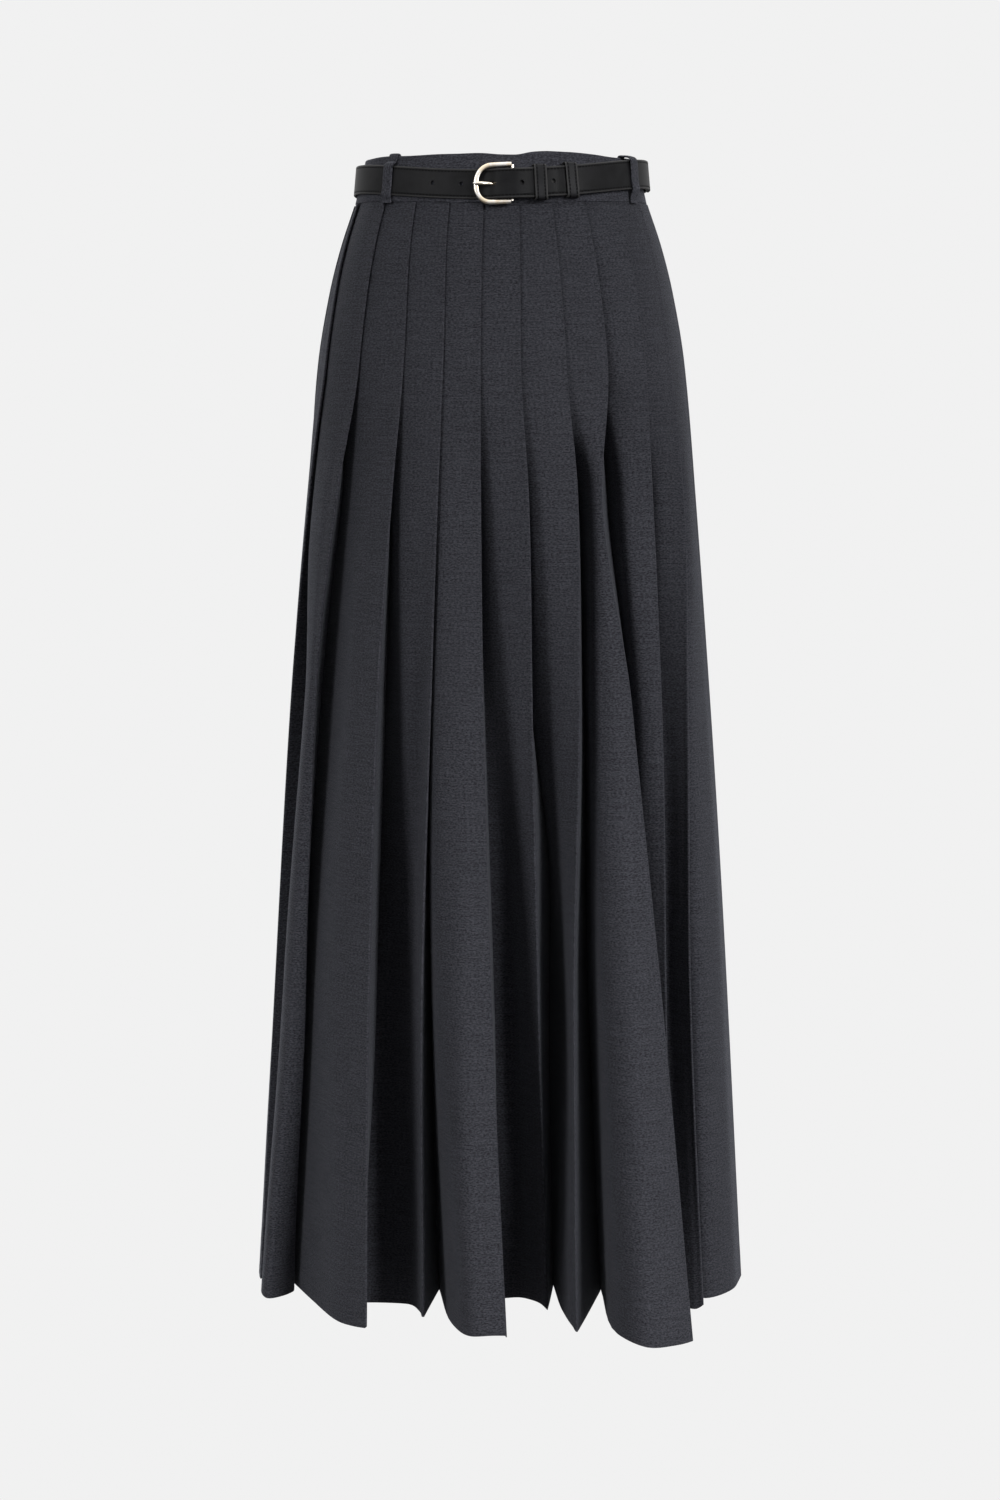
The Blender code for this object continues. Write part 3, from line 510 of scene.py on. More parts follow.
class Finish:
    """One material, built node by node."""

    def __init__(self, name, colour):
        self.material = bpy.data.materials.new(name)
        self.material.use_nodes = True
        self.tree = self.material.node_tree
        self.shader = self.tree.nodes['Principled BSDF']
        self.material.diffuse_color = (*colour, 1.0)
        self.count = 0

    def node(self, kind, settings=None, sockets=None, out=0):
        node = self.tree.nodes.new(kind)
        self.count += 1
        node.location = (-200 * (1 + self.count % 8), -160 * (self.count // 8))
        for key, value in (settings or {}).items():
            setattr(node, key, value)
        for key, value in (sockets or {}).items():
            if isinstance(value, Sock):
                self.tree.links.new(value.socket, node.inputs[key])
            else:
                node.inputs[key].default_value = value
        return Sock(self, node.outputs[out])

    def uv(self):
        """Cloth coordinates: along and down, in metres."""
        vector = self.node('ShaderNodeUVMap', {'uv_map': 'UVMap'})
        return (self.node('ShaderNodeSeparateXYZ', None, {0: vector}, 0),
                self.node('ShaderNodeSeparateXYZ', None, {0: vector}, 1), vector)

    def stretched(self, vector, scale):
        return self.node('ShaderNodeMapping', None, {'Vector': vector, 'Scale': scale})

    def noise(self, vector, scale, detail=2.0, rough=0.5):
        return self.node('ShaderNodeTexNoise', {'noise_dimensions': '3D'},
                         {'Vector': vector, 'Scale': scale, 'Detail': detail, 'Roughness': rough})

    def mix(self, factor, a, b):
        return self.node('ShaderNodeMix', {'data_type': 'RGBA'}, {0: factor, 6: a, 7: b}, 2)

    def bump(self, height, strength, distance):
        return self.node('ShaderNodeBump', None,
                         {'Height': height, 'Strength': strength, 'Distance': distance})

    def feed(self, **inputs):
        for key, value in inputs.items():
            socket = self.shader.inputs[key.replace('_', ' ')]
            if isinstance(value, Sock):
                self.tree.links.new(value.socket, socket)
            else:
                socket.default_value = value
        return self.material


def paled(shade, pale):
    return tuple(c * pale for c in shade) + (1.0,)


THREADS = (0.00062, 0.00056)        # spacing of the weave, across and down, metres
WOOL_SHADES = (  # dark fibres, bright fibres, worn patches
    (0.0105, 0.0109, 0.0147), (0.1040, 0.1055, 0.1260), (0.0400, 0.0410, 0.0495))


def wool(name, pale=1.0):
    """Charcoal melange: light and dark fibres, a fine weave, faint slubs."""
    f = Finish(name, (0.045, 0.046, 0.054))
    across, down, where = f.uv()
    fibres = f.noise(f.stretched(where, (430.0, 900.0, 1.0)), 1.0, 3.0, 0.65)
    specks = f.noise(f.stretched(where, (700.0, 800.0, 1.0)), 1.0, 1.0)
    slubs = f.noise(f.stretched(where, (38.0, 620.0, 1.0)), 1.0, 2.0)
    streaks = f.noise(f.stretched(where, (430.0, 26.0, 1.0)), 1.0, 2.0)
    clouds = f.noise(f.stretched(where, (14.0, 9.0, 1.0)), 1.0, 3.0)
    warp, weft = (way * (2 * math.pi / pitch) for way, pitch in zip((across, down), THREADS))
    weave = (warp.sine() * weft.sine() + 1.0) * 0.5
    light = (fibres.ease(0.40, 0.62) * 0.52 + specks.ease(0.38, 0.65) * 0.20
             + slubs.ease(0.36, 0.66) * 0.18 + streaks.ease(0.3, 0.7) * 0.06 + weave * 0.04)
    dark, bright, worn = (paled(shade, pale) for shade in WOOL_SHADES)
    colour = f.mix(light, dark, bright)
    colour = f.mix(clouds.ease(0.35, 0.7) * 0.14, colour, worn)
    height = weave * 0.5 + fibres * 0.5 + slubs * 0.35
    return f.feed(Base_Color=colour, Roughness=0.9, Normal=f.bump(height, 0.55, 0.0004),
                  Sheen_Weight=0.22, Sheen_Roughness=0.35, Sheen_Tint=(0.78, 0.82, 0.92, 1.0),
                  Specular_IOR_Level=0.25)


LEATHER_SHADES = ((0.0045, 0.0045, 0.005), (0.010, 0.010, 0.011))
EDGE_HIGHLIGHT_GREY = (0.075, 0.074, 0.074, 1.0)      # painted highlight along each edge of the leather, where its bevel would catch light
THREAD_BLACK = (0.0006, 0.0006, 0.0006, 1.0)
STITCH, STITCH_INSET = 0.0029, 2.2          # stitch length in metres, inset from the edge in mm


def leather(name, edge, pale):
    """Smooth black leather: fine grain, a groove with stitches inside each
    edge.  The map runs along the strap and across it, in metres, and `edge`
    is half the leather's width in millimetres."""
    f = Finish(name, (0.012, 0.012, 0.013))
    along, across, where = f.uv()
    grain = f.node('ShaderNodeTexVoronoi', {'feature': 'F1'}, {'Vector': where, 'Scale': 1500.0})
    cloud = f.noise(where, 60.0, 4.0)
    height = grain * 0.25 + cloud * 0.3
    colour = f.mix(cloud.ease(0.3, 0.75), *(paled(shade, pale) for shade in LEATHER_SHADES))
    rough = 0.38 + cloud * 0.14
    inside = (across.size() - (edge - STITCH_INSET) * MM).size()
    line = 1.0 - inside.ease(0.35 * MM, 0.7 * MM)
    beat = ((along / STITCH).part() - 0.5).size().ease(0.34, 0.42)
    thread = line * (1.0 - beat)
    groove = 1.0 - inside.ease(0.2 * MM, 1.0 * MM)
    height = height - groove * 1.2 + thread * 1.2
    # Painted highlight: the outer 1.5 mm of each edge is lightened towards grey, standing in for
    # light on the bevel.
    rim = across.size().ease((edge - 1.5) * MM, (edge - 0.6) * MM) * 0.9
    colour = f.mix(rim, colour, EDGE_HIGHLIGHT_GREY)
    colour = f.mix(thread, colour, THREAD_BLACK)
    rough = rough + thread * 0.3
    return f.feed(Base_Color=colour, Roughness=rough, Normal=f.bump(height, 0.5, 0.0003),
                  Specular_IOR_Level=0.10)


OBJECT_PLACE = 3         # the output of Texture Coordinate that gives Object coordinates


def metal(name):
    """Polished silver with a warm blush and faint wear."""
    f = Finish(name, (0.74, 0.68, 0.60))
    where = f.node('ShaderNodeTexCoord', out=OBJECT_PLACE)
    wear = f.noise(where, 900.0, 3.0)
    blush = f.noise(where, 130.0, 2.0)
    colour = f.mix(blush.ease(0.35, 0.65), (0.83, 0.80, 0.76, 1.0), (0.78, 0.66, 0.50, 1.0))
    return f.feed(Base_Color=colour, Metallic=1.0, Roughness=0.14 + wear * 0.14,
                  Normal=f.bump(wear, 0.04, 0.0002))


WOOL = wool('charcoal wool')
# Painted light: the band and loops get the skirt's own wool made 1.3 times paler, standing in for
# the brighter light they catch.
PAINTED_LIGHTER_BAND_WOOL = wool('waistband wool painted lighter', pale=1.3)
STRAP_LEATHER = leather('black strap leather', edge=12.0, pale=1.7)
KEEPER_LEATHER = leather('black keeper leather', edge=5.2, pale=3.4)
BUCKLE_METAL = metal('warm polished silver')


# ---------------------------------------------------------------- the skirt
FRONT_ROWS, BACK_ROWS = 100, 84
ROW_EASE = 1.12          # above 1, the rows stand closer together towards the waist


def skirt_panel(name, first, last, rows):
    """One panel's cloth, from inside pleat `first` to inside pleat `last`."""
    lines = []
    for share in [(i / rows) ** ROW_EASE for i in range(rows, -1, -1)]:
        points, along = section(share, first, last)
        z = lerp(-BAND_HALF - SEAM_GAP, HEM_Z, share)
        a, b = outline(z)
        down = share * (-HEM_Z - BAND_HALF)
        ring = []
        for i, (p, s) in enumerate(zip(points, along)):
            phi = math.degrees(math.atan2(p[0] / a, -p[1] / b))
            droop = HEM_DROOP * math.sin(0.9 * 8 * i / FOLD_POINTS + 0.9 * 8 * first) * share ** 8
            height = z + waist_lift(phi) * (1.0 - share) ** 3 + droop
            ring.append(((p[0] * MM, p[1] * MM, height * MM), (s * MM, -down * MM)))
        lines.append(ring)
    panel = shaped_grid(name, len(lines[0]) - 1, rows, lambda i, j: lines[j][i])
    group = panel.vertex_groups.new(name='turned hem')
    low = [v.index for v in panel.data.vertices if v.co.z < (HEM_Z + HEM_TURN) * MM]
    group.add(low, 1.0, 'REPLACE')
    walled(panel, HEM_WALL * MM, 'turned hem', CLOTH / HEM_WALL)
    panel.vertex_groups.clear()
    return finish_piece(panel, WOOL, name)


right_seam, left_seam = SIDE_SEAM_FOLDS
front = skirt_panel('skirt_front', left_seam - PLEATS, right_seam, FRONT_ROWS)
back = skirt_panel('skirt_back', right_seam, left_seam, BACK_ROWS)
front.name, back.name = 'front_pleats', 'back_pleats'
SKIRT_LONG = 0.947       # metres
for panel, seam_wide, hem_wide in ((front, 0.80, 1.55), (back, 0.89, 1.86)):
    (seam_wide + hem_wide) / 2 * SKIRT_LONG


# --------------------------------------------------- swept bands, rods, rings
def rounded_box(half_out, half_high, radius, flats=6, turns=4):
    """Outline of a rounded rectangle as (out, high), from the middle of its back."""
    corners = ((-1, -1, 180), (1, -1, 270), (1, 1, 0), (-1, 1, 90))
    outline_points = []
    for out_way, high_way, start in corners:
        for i in range(turns + 1):
            t = math.radians(start + 90.0 * i / turns)
            outline_points.append((out_way * (half_out - radius) + radius * math.cos(t),
                                   high_way * (half_high - radius) + radius * math.sin(t)))
        if (out_way, high_way) == (1, -1):
            outline_points += [(half_out, lerp(radius - half_high, half_high - radius, i / flats))
                               for i in range(1, flats)]
    return [(-half_out, 0.0)] + outline_points


def swept(name, rings, closed=0.0, sharp=SMOOTH_LEATHER):
    """A closed skin over rings of (point, map point) pairs in millimetres.  A
    ring of its own ends where it starts, `closed` further on in the map."""
    if closed:
        rings = rings + [[(p, (q[0] + closed, q[1])) for p, q in rings[0]]]
    else:
        tips = []
        for ring in (rings[0], rings[-1]):
            middle = sum((Vector(p) for p, _ in ring), Vector()) / len(ring)
            tips.append([(middle, q) for _, q in ring])
        rings = [tips[0]] + rings + [tips[1]]
    wrapped = [ring + ring[:1] for ring in rings]

    def place(i, j):
        p, q = wrapped[j][i]
        return [c * MM for c in p], [c * MM for c in q]

    obj = shaped_grid(name, len(wrapped[0]) - 1, len(wrapped) - 1, place)
    turn_outwards(obj, merged=True)
    bpy.ops.object.shade_smooth_by_angle(angle=math.radians(sharp))
    return obj


def eased(points, pace):
    """A smooth, even run through plan points, about `pace` mm a step."""
    counts = [max(1, round(math.dist(p[:2], q[:2]) / pace)) for p, q in zip(points, points[1:])]
    return [tuple(float(c) for c in p) for p in spline(points, counts)] + [tuple(points[-1])]


def travelled(points):
    """Distance along a run of plan points, to each of them."""
    steps = [0.0]
    for p, q in zip(points, points[1:]):
        steps.append(steps[-1] + math.dist(p[:2], q[:2]))
    return steps


def sideways(points, i):
    """Unit normal of a run at point i, to the left of its way."""
    p, q = points[max(0, i - 1)], points[min(len(points) - 1, i + 1)]
    dx, dy = q[0] - p[0], q[1] - p[1]
    size = math.hypot(dx, dy)
    return -dy / size, dx / size


# ------------------------------------------------------------- the waistband
HALF_WIDE, HALF_DEEP = table(OUTLINE, 0, 1), table(OUTLINE, 0, 2)
SLOPE_A = (OUTLINE[1][1] - OUTLINE[0][1]) / (2 * BAND_HALF)
SLOPE_B = (OUTLINE[1][2] - OUTLINE[0][2]) / (2 * BAND_HALF)
SIDE_STAND_OFF = 2.4
TOP_WAVE = (  # x along the front, how far the soft top edge rises there, or dips if below 0
    (-112.0, -3.4), (-89.0, -2.6), (-60.0, -1.4), (-40.0, -0.6), (-18.0, 0.6), (0.0, -0.7),
    (12.0, -1.1), (28.0, 1.3), (39.0, 1.9), (56.0, 1.1), (79.0, -1.5), (95.0, -3.2),
    (112.0, -3.9))
BACK_DIP = -3.7          # the same dip all round the back
WAVE_STARTS = -4.0       # the height on the band above which the wave is felt


def band_point(phi, out, z):
    """A point `out` mm outside the waistband's face, z above its middle line."""
    a, b = table(OUTLINE, z, 1), table(OUTLINE, z, 2)
    r = math.radians(phi)
    return (a + out) * math.sin(r), -(b + out) * math.cos(r), z + waist_lift(phi)


def top_dip(phi, z):
    depth = BACK_DIP
    if math.cos(math.radians(phi)) > 0:
        xs, rises = zip(*TOP_WAVE)
        x = HALF_WIDE * math.sin(math.radians(phi))
        depth = curve(xs, rises, max(xs[0], min(xs[-1], x)))
    return depth * smooth((z - WAVE_STARTS) / (BAND_HALF - WAVE_STARTS))


BAND_STEPS, BAND_ROUND = 288, 2 * math.pi * 107.0     # BAND_ROUND is for the weave's map alone
RIPPLE, RIPPLES = 0.25, 11                            # a faint ripple along the top edge


def waistband():
    lines = rounded_box(BAND_WALL / 2, BAND_HALF, 1.0, flats=14)
    rings = []
    for i in range(BAND_STEPS):
        phi = 360.0 * i / BAND_STEPS
        ripple = RIPPLE * math.sin(math.radians(RIPPLES * phi))
        ring = []
        for out, z in lines:
            x, y, high = band_point(phi, out - BAND_WALL / 2, z)
            fall = top_dip(phi, z) + ripple * smooth(z / BAND_HALF)
            ring.append(((x, y, high + fall), (BAND_ROUND * i / BAND_STEPS, z)))
        rings.append(ring)
    band = swept('waistband_face', rings, closed=BAND_ROUND)
    finish_piece(band, PAINTED_LIGHTER_BAND_WOOL, 'waistband')
    return band


LOOP_WIDE, LOOP_WALL = 9.5, 1.4
LOOP_GAP, LOOP_PUFF, LOOP_PACE = 0.35, 0.22, 0.9    # gap to what it covers, crown, step along it
LOOPS = (  # name, angle, lean at the foot, face of the belt under it
    ('loop_front_left', -49.8, 1.3, 2.2),
    ('loop_front_right', 62.0, 0.0, 4.3),
    ('loop_back_right', 141.0, 0.0, 2.2),
    ('loop_back_left', 219.0, 0.0, 2.2),
)


def belt_loop(name, phi, tilt, belt_face):
    """A strip folded over the top edge, over the belt and down to the seam."""
    clear, half = LOOP_GAP, LOOP_WALL / 2
    lift = belt_z(phi) - waist_lift(phi)
    flat, proud = clear + half, belt_face + clear + half
    top, foot = (proud + belt_clear(phi, lift + h * BELT_HALF) for h in (1, -1))
    inside = -BAND_WALL - clear - half
    dip = top_dip(phi, BAND_HALF)
    ridge, belt_top, belt_foot = BAND_HALF + clear + half + dip, lift + BELT_HALF, lift - BELT_HALF
    drop = ((flat, BAND_HALF - 1.4 + dip), (flat + 0.3, belt_top + 3.0))
    if belt_top + 3.0 > BAND_HALF - 1.4 + dip:      # the belt is level with the edge here
        drop = (((flat + top) / 2, ridge - 0.5),)
    path = eased(((inside, 9.0), (inside, BAND_HALF - 1.5 + dip), (inside + 1.6, ridge),
                  (flat - 0.8, ridge), *drop, (top, belt_top + 0.6), (top, belt_top - 4.0),
                  (foot, belt_foot + 4.0), (foot, belt_foot - 0.2),
                  (flat + 0.3, min(belt_foot - 2.6, -BAND_HALF + 1.6)),
                  (flat + 0.2, -BAND_HALF - 1.2)), LOOP_PACE)
    reach = travelled(path)
    r = math.radians(phi)
    radius = math.hypot(HALF_WIDE * math.cos(r), HALF_DEEP * math.sin(r))
    half_angle = math.degrees(LOOP_WIDE / 2 / radius)
    rings = []
    for i, (out, z) in enumerate(path):
        nx, nz = sideways(path, i)
        ring = []
        for w, s in rounded_box(half, LOOP_WIDE / 2, 0.55):
            lean_here = tilt * (BAND_HALF - z) / (BAND_HALF * LOOP_WIDE)
            angle = phi + (s / (LOOP_WIDE / 2) + lean_here) * half_angle
            puff = LOOP_PUFF * (1.0 - (2.0 * s / LOOP_WIDE) ** 4) if w > 0 else 0.0
            point = band_point(angle, out + nx * (w + puff), z + nz * (w + puff))
            ring.append((point, (reach[i], s)))
        rings.append(ring)
    loop = swept(name + '_strip', rings)
    return finish_piece(loop, PAINTED_LIGHTER_BAND_WOOL, name)


# ------------------------------------------------------------------ the belt
BELT_HALF, STRAP = 12.0, 1.8
BAR_X, BAR_OUT, BAR_R = 9.0, 3.7, 1.2       # the buckle's bar
BAR_TURN = 2.4                              # radius of the strap's turn round it
HOLES = (-55.0, -32.0, 16.0, 40.5)          # x of the free holes along the front
HOLE_R, PRONG_HOLE_X, TIP_ANGLE = 1.9, -8.6, 101.0
TIP_TAPER = 6.0                             # degrees over which the tip narrows


def belt_z(phi):
    return -5.0 + 15.0 * side_share(phi) + 2.3 * math.sin(math.radians(phi))


def lean(phi):
    """How much of the waistband's slope the belt follows."""
    return lerp(1.0, 0.4, side_share(phi))


def flare(phi, z):
    """How far the waistband's slope moves a point at height z, in plan."""
    level = (z - waist_lift(phi)) * lean(phi)
    r = math.radians(phi)
    return -SLOPE_A * level * math.sin(r), SLOPE_B * level * math.cos(r)


def belt_clear(phi, level):
    r = math.radians(phi)
    slope = SLOPE_A * math.sin(r) ** 2 + SLOPE_B * math.cos(r) ** 2
    return SIDE_STAND_OFF * side_share(phi) ** 2 + (1.0 - lean(phi)) * slope * level


def front_angle(x):
    return math.degrees(math.asin(x / HALF_WIDE))


# Stand-off of the strap's middle by x: its folded end, the layer over it and
# the tail, which runs over the bar and then lies on top.
UNDER_END = ((40.0, 2.5), (20.0, 2.5), (13.0, 1.4), (BAR_X, BAR_OUT - BAR_TURN))
MAIN_END = ((BAR_X, BAR_OUT + BAR_TURN), (22.0, 4.6), (42.0, 4.6), (50.0, 2.5), (64.0, 2.5),
            (80.0, 1.3))
TAIL = ((-22.0, 1.3), (-14.5, 1.4), (-9.0, 3.2), (-3.0, 6.6), (3.0, 8.1), (12.0, 8.2),
        (22.0, 6.75), (42.0, 6.75), (50.0, 4.65), (64.0, 4.65), (80.0, 3.4))
UNDER_STOPS = (40, 34, 27, 20, 16, 13, 10.5)
OVER_STOPS = (18.5, 22, 28, 35, 42, 46, 50, 57, 64, 72, 80, 90, 100)
MAIN_STOPS = (11.5, 15, *OVER_STOPS)
TAIL_STOPS = (-22, -18, -14.5, -11.5, -9, -6, -3, 0, 3, 7.5, 12, 15, *OVER_STOPS)


def strap_path():
    """(angle, stand-off, half width) along the strap, buckle end to tip."""
    path = [(front_angle(x), table(UNDER_END, x, 1), BELT_HALF) for x in UNDER_STOPS]
    for i in range(7):
        turn = math.radians(-90 - 180 * i / 6)
        path.append((front_angle(BAR_X + BAR_TURN * math.cos(turn)),
                     BAR_OUT + BAR_TURN * math.sin(turn), BELT_HALF))
    path += [(front_angle(x), table(MAIN_END, x, 1), BELT_HALF) for x in MAIN_STOPS]
    start, end = front_angle(108.0), 360.0 + front_angle(-30.0)
    path += [(lerp(start, end, i / 52), MAIN_END[-1][1], BELT_HALF) for i in range(53)]
    path += [(360.0 + front_angle(x), table(TAIL, x, 1), BELT_HALF) for x in TAIL_STOPS]
    tip, out = TIP_ANGLE - TIP_TAPER, TAIL[-1][1]
    path += [(360.0 + lerp(start, tip, i / 12), out, BELT_HALF) for i in range(13)]
    for i in range(1, 10):
        t = i / 9.3
        path.append((360.0 + tip + 5.45 * t, out, BELT_HALF * math.sqrt(1 - t * t * 0.93)))
    return path


def front_frame(x):
    """Origin, along, up and outward directions on the belt's front at x."""
    phi = front_angle(x)
    r = math.radians(phi)
    dx, dy = flare(phi, belt_z(phi))
    p = Vector((x + dx, -HALF_DEEP * math.cos(r) + dy, belt_z(phi)))
    along = Vector((HALF_WIDE * math.cos(r), HALF_DEEP * math.sin(r), 0)).normalized()
    ux, uy = flare(phi, waist_lift(phi) + 1.0)
    return p, along, Vector((ux, uy, 1)), Vector((along.y, -along.x, 0))


def punch(strap, x, r_long, r_high, out, half_deep):
    """A clean hole through the strap, made with a round cutter."""
    p, along, up, outward = front_frame(x)
    bpy.ops.object.select_all(action='DESELECT')
    bpy.ops.mesh.primitive_cylinder_add(vertices=28, radius=1.0, depth=2.0)
    tool = bpy.context.object
    for v in tool.data.vertices:
        high, long_way, deep = v.co.y * r_high, v.co.x * r_long, v.co.z * half_deep
        v.co = (p + outward * (out + deep) + along * long_way + up * high) * MM
    turn_outwards(tool)
    alone(strap)
    mod = strap.modifiers.new('hole', 'BOOLEAN')
    mod.operation, mod.object, mod.solver = 'DIFFERENCE', tool, 'EXACT'
    bpy.ops.object.modifier_apply(modifier='hole')
    bpy.data.objects.remove(tool)


def belt_strap():
    points = []
    for phi, out, half in strap_path():
        r = math.radians(phi)
        out += SIDE_STAND_OFF * side_share(phi) ** 2
        points.append(((HALF_WIDE + out) * math.sin(r), -(HALF_DEEP + out) * math.cos(r),
                       phi, half))
    path = eased(points, 2.2)
    reach = travelled(path)
    rings = []
    for i, (x, y, phi, half) in enumerate(path):
        nx, ny = sideways(path, i)
        c = belt_z(phi)
        ring = []
        for w, h in rounded_box(STRAP / 2, half, min(0.7, half / 2), flats=8):
            dx, dy = flare(phi, c + h)
            point = x - nx * w + dx, y - ny * w + dy, c + h
            ring.append((point, (reach[i], h * BELT_HALF / half)))
        rings.append(ring)
    strap = swept('belt_strap_leather', rings)
    for x in HOLES:
        punch(strap, x, HOLE_R, HOLE_R, table(TAIL, x, 1), 1.25)
    punch(strap, PRONG_HOLE_X, 5.0, 2.1, 4.2, 3.2)
    punch(strap, BAR_X - 0.5, 2.9, 6.6, 2.0, 4.1)       # where the prong's curl comes through
    bpy.ops.object.shade_smooth_by_angle(angle=math.radians(SMOOTH_LEATHER))
    return finish_piece(strap, STRAP_LEATHER, 'belt_strap')


KEEPERS = (('keeper_fixed', 30.5, 8.3), ('keeper_sliding', 55.5, 6.2))   # name, x, inner front
KEEPER_WIDE, KEEPER_WALL = 10.4, 1.1
KEEPER_BACK, KEEPER_ROOM, KEEPER_PACE = 1.35, 1.25, 0.8   # place of its back, room above the strap


def keeper(name, x, face):
    """A stitched leather ring round the strap; `face` is its inner front."""
    half = KEEPER_WALL / 2
    high = BELT_HALF + KEEPER_ROOM + half
    lo, hi = KEEPER_BACK - half - 0.05, face + half
    bend = ((lo, 0.0), (lo, -high + 1.0), (lo + 1.0, -high), (hi - 1.6, -high),
            (hi - 0.4, -high + 0.9), (hi, -high + 2.6), (hi + 0.1, 0.0), (hi, high - 2.6),
            (hi - 0.4, high - 0.9), (hi - 1.6, high), (lo + 1.0, high), (lo, high - 1.0), (lo, 0.0))
    path = eased(bend, KEEPER_PACE)[:-1]
    reach = travelled(path + path[:1])
    p, along, up, outward = front_frame(x)
    rings = []
    for i, (out, z) in enumerate(path):
        before, after = path[i - 1], path[(i + 1) % len(path)]
        size = math.dist(before, after)
        nx, nz = -(after[1] - before[1]) / size, (after[0] - before[0]) / size
        ring = []
        for w, s in rounded_box(half, KEEPER_WIDE / 2, 0.4):
            q = p + along * s + outward * (out - nx * w) + up * (z - nz * w)
            ring.append((q, (reach[i], s)))
        rings.append(ring)
    ring_shape = swept(name + '_leather', rings, closed=reach[-1])
    return finish_piece(ring_shape, KEEPER_LEATHER, name)


def rod(name, centres, wide, deep, ends=1.0, square=1.0, sides=20):
    """A metal rod of soft oval section along points, with its half widths in
    the belt's plane and across it, point by point."""
    rings = []
    n = len(centres)
    for i, c in enumerate(centres):
        d = (centres[min(n - 1, i + 1)] - centres[max(0, i - 1)]).normalized()
        side = d.cross(Vector((0, -1, 0))).normalized()
        front_way = side.cross(d).normalized()
        tip = min(i, n - 1 - i)
        size = lerp(ends, 1.0, min(1.0, tip / 2.0))
        ring = []
        for j in range(sides):
            t = 2 * math.pi * j / sides
            u = math.copysign(abs(math.cos(t)) ** square, math.cos(t)) * wide[i]
            v = math.copysign(abs(math.sin(t)) ** square, math.sin(t)) * deep[i]
            ring.append((c + side * u * size + front_way * v * size, (i, j)))
        rings.append(ring)
    return swept(name, rings, sharp=SMOOTH_METAL)


BUCKLE_HALF_HIGH, BUCKLE_ROD, BUCKLE_DEEP = 15.0, 2.05, 1.6
BUCKLE_LEFT = -20.3      # x of the mid-line of the frame's round end
BUCKLE_TURN = -7.0       # x where the straight arms run into the round end
BUCKLE_ARM = 8.2         # x where the arms end
BUCKLE_MIDDLE = -5.0     # x where the frame's plane is set
BUCKLE_TILT, TILT_FROM = 0.05, -6.0         # rise of the arms per mm, and the x it starts from
BEND_STEPS, ARM_STEPS = 48, 12
CURL_STEPS, CURL_R = 16, 2.25               # the prong's turn round the bar
PRONG_THIN, PRONG_WIDE, PRONG_DEEP = 0.75, 1.35, 0.85


def askew(x):
    return BUCKLE_TILT * (x - TILT_FROM)


def buckle_frame():
    """A horseshoe lying on its side, open to the right, with a bar across."""
    p, _, up, _ = front_frame(BUCKLE_MIDDLE)
    points = [(lerp(BUCKLE_ARM, BUCKLE_TURN, i / ARM_STEPS), BUCKLE_HALF_HIGH)
              for i in range(ARM_STEPS)]
    for i in range(BEND_STEPS + 1):
        t = math.pi / 2 + math.pi * i / BEND_STEPS
        points.append((BUCKLE_TURN - (BUCKLE_TURN - BUCKLE_LEFT) * abs(math.cos(t)) ** 0.9,
                       BUCKLE_HALF_HIGH * math.copysign(abs(math.sin(t)) ** 0.9, math.sin(t))))
    points += [(lerp(BUCKLE_TURN, BUCKLE_ARM, i / ARM_STEPS), -BUCKLE_HALF_HIGH)
               for i in range(1, ARM_STEPS + 1)]
    centres = []
    for x, h in points:
        level = lerp(5.1, BAR_OUT + 0.2, (x - BUCKLE_LEFT) / (BUCKLE_ARM - BUCKLE_LEFT))
        centres.append(Vector((x, p.y - level, p.z)) + up * (h + askew(x)))
    frame_rod = rod('buckle_horseshoe', centres, [BUCKLE_ROD] * len(centres),
                    [BUCKLE_DEEP] * len(centres), ends=0.9, square=0.7)
    y = front_frame(BAR_X)[0].y - BAR_OUT
    x = BAR_X * (1 + BAR_OUT / HALF_WIDE)
    along_bar = [Vector((x, y, p.z)) + up * (BUCKLE_HALF_HIGH * share + askew(BAR_X))
                 for share in (0.97, 0.5, 0.0, -0.5, -0.97)]
    bar_r = [BAR_R] * len(along_bar)
    bar = rod('buckle_bar', along_bar, bar_r, bar_r)
    bpy.ops.object.select_all(action='DESELECT')
    frame_rod.select_set(True)
    bar.select_set(True)
    bpy.context.view_layer.objects.active = frame_rod
    bpy.ops.object.join()
    return finish_piece(frame_rod, BUCKLE_METAL, 'buckle_frame')


def buckle_prong():
    """Curled round the bar, through the strap's hole, resting on the frame."""
    base = front_frame(BAR_X)[0]
    turns = [math.radians(lerp(-45.0, 185.0, i / CURL_STEPS)) for i in range(CURL_STEPS + 1)]
    curl = [(BAR_X + CURL_R * math.cos(t), BAR_OUT + CURL_R * math.sin(t)) for t in turns]
    shank = eased((curl[-1], (3.0, 3.3), (-2.0, 2.9), (-5.5, 3.2), (-8.5, 4.4), (-12.0, 6.3),
                   (-15.5, 7.6), (-18.5, 8.0), (-21.0, 7.9), (-22.6, 7.35)), 0.9)
    path = curl + shank[1:]
    z = front_frame(BUCKLE_MIDDLE)[0].z
    centres = [Vector((x, base.y - out, z)) for x, out in path]
    grown = [smooth((i - CURL_STEPS) / 8) for i in range(len(path))]
    wide = [lerp(PRONG_THIN, PRONG_WIDE, share) for share in grown]
    deep = [lerp(PRONG_THIN, PRONG_DEEP, share) for share in grown]
    prong = rod('buckle_tongue', centres, wide, deep, ends=0.5, square=0.9, sides=14)
    return finish_piece(prong, BUCKLE_METAL, 'buckle_prong')


# --------------------------------------------------------------- the pieces
waistband()
for row in LOOPS:
    belt_loop(*row)
belt_strap()
for row in KEEPERS:
    keeper(*row)
buckle_frame()
buckle_prong()

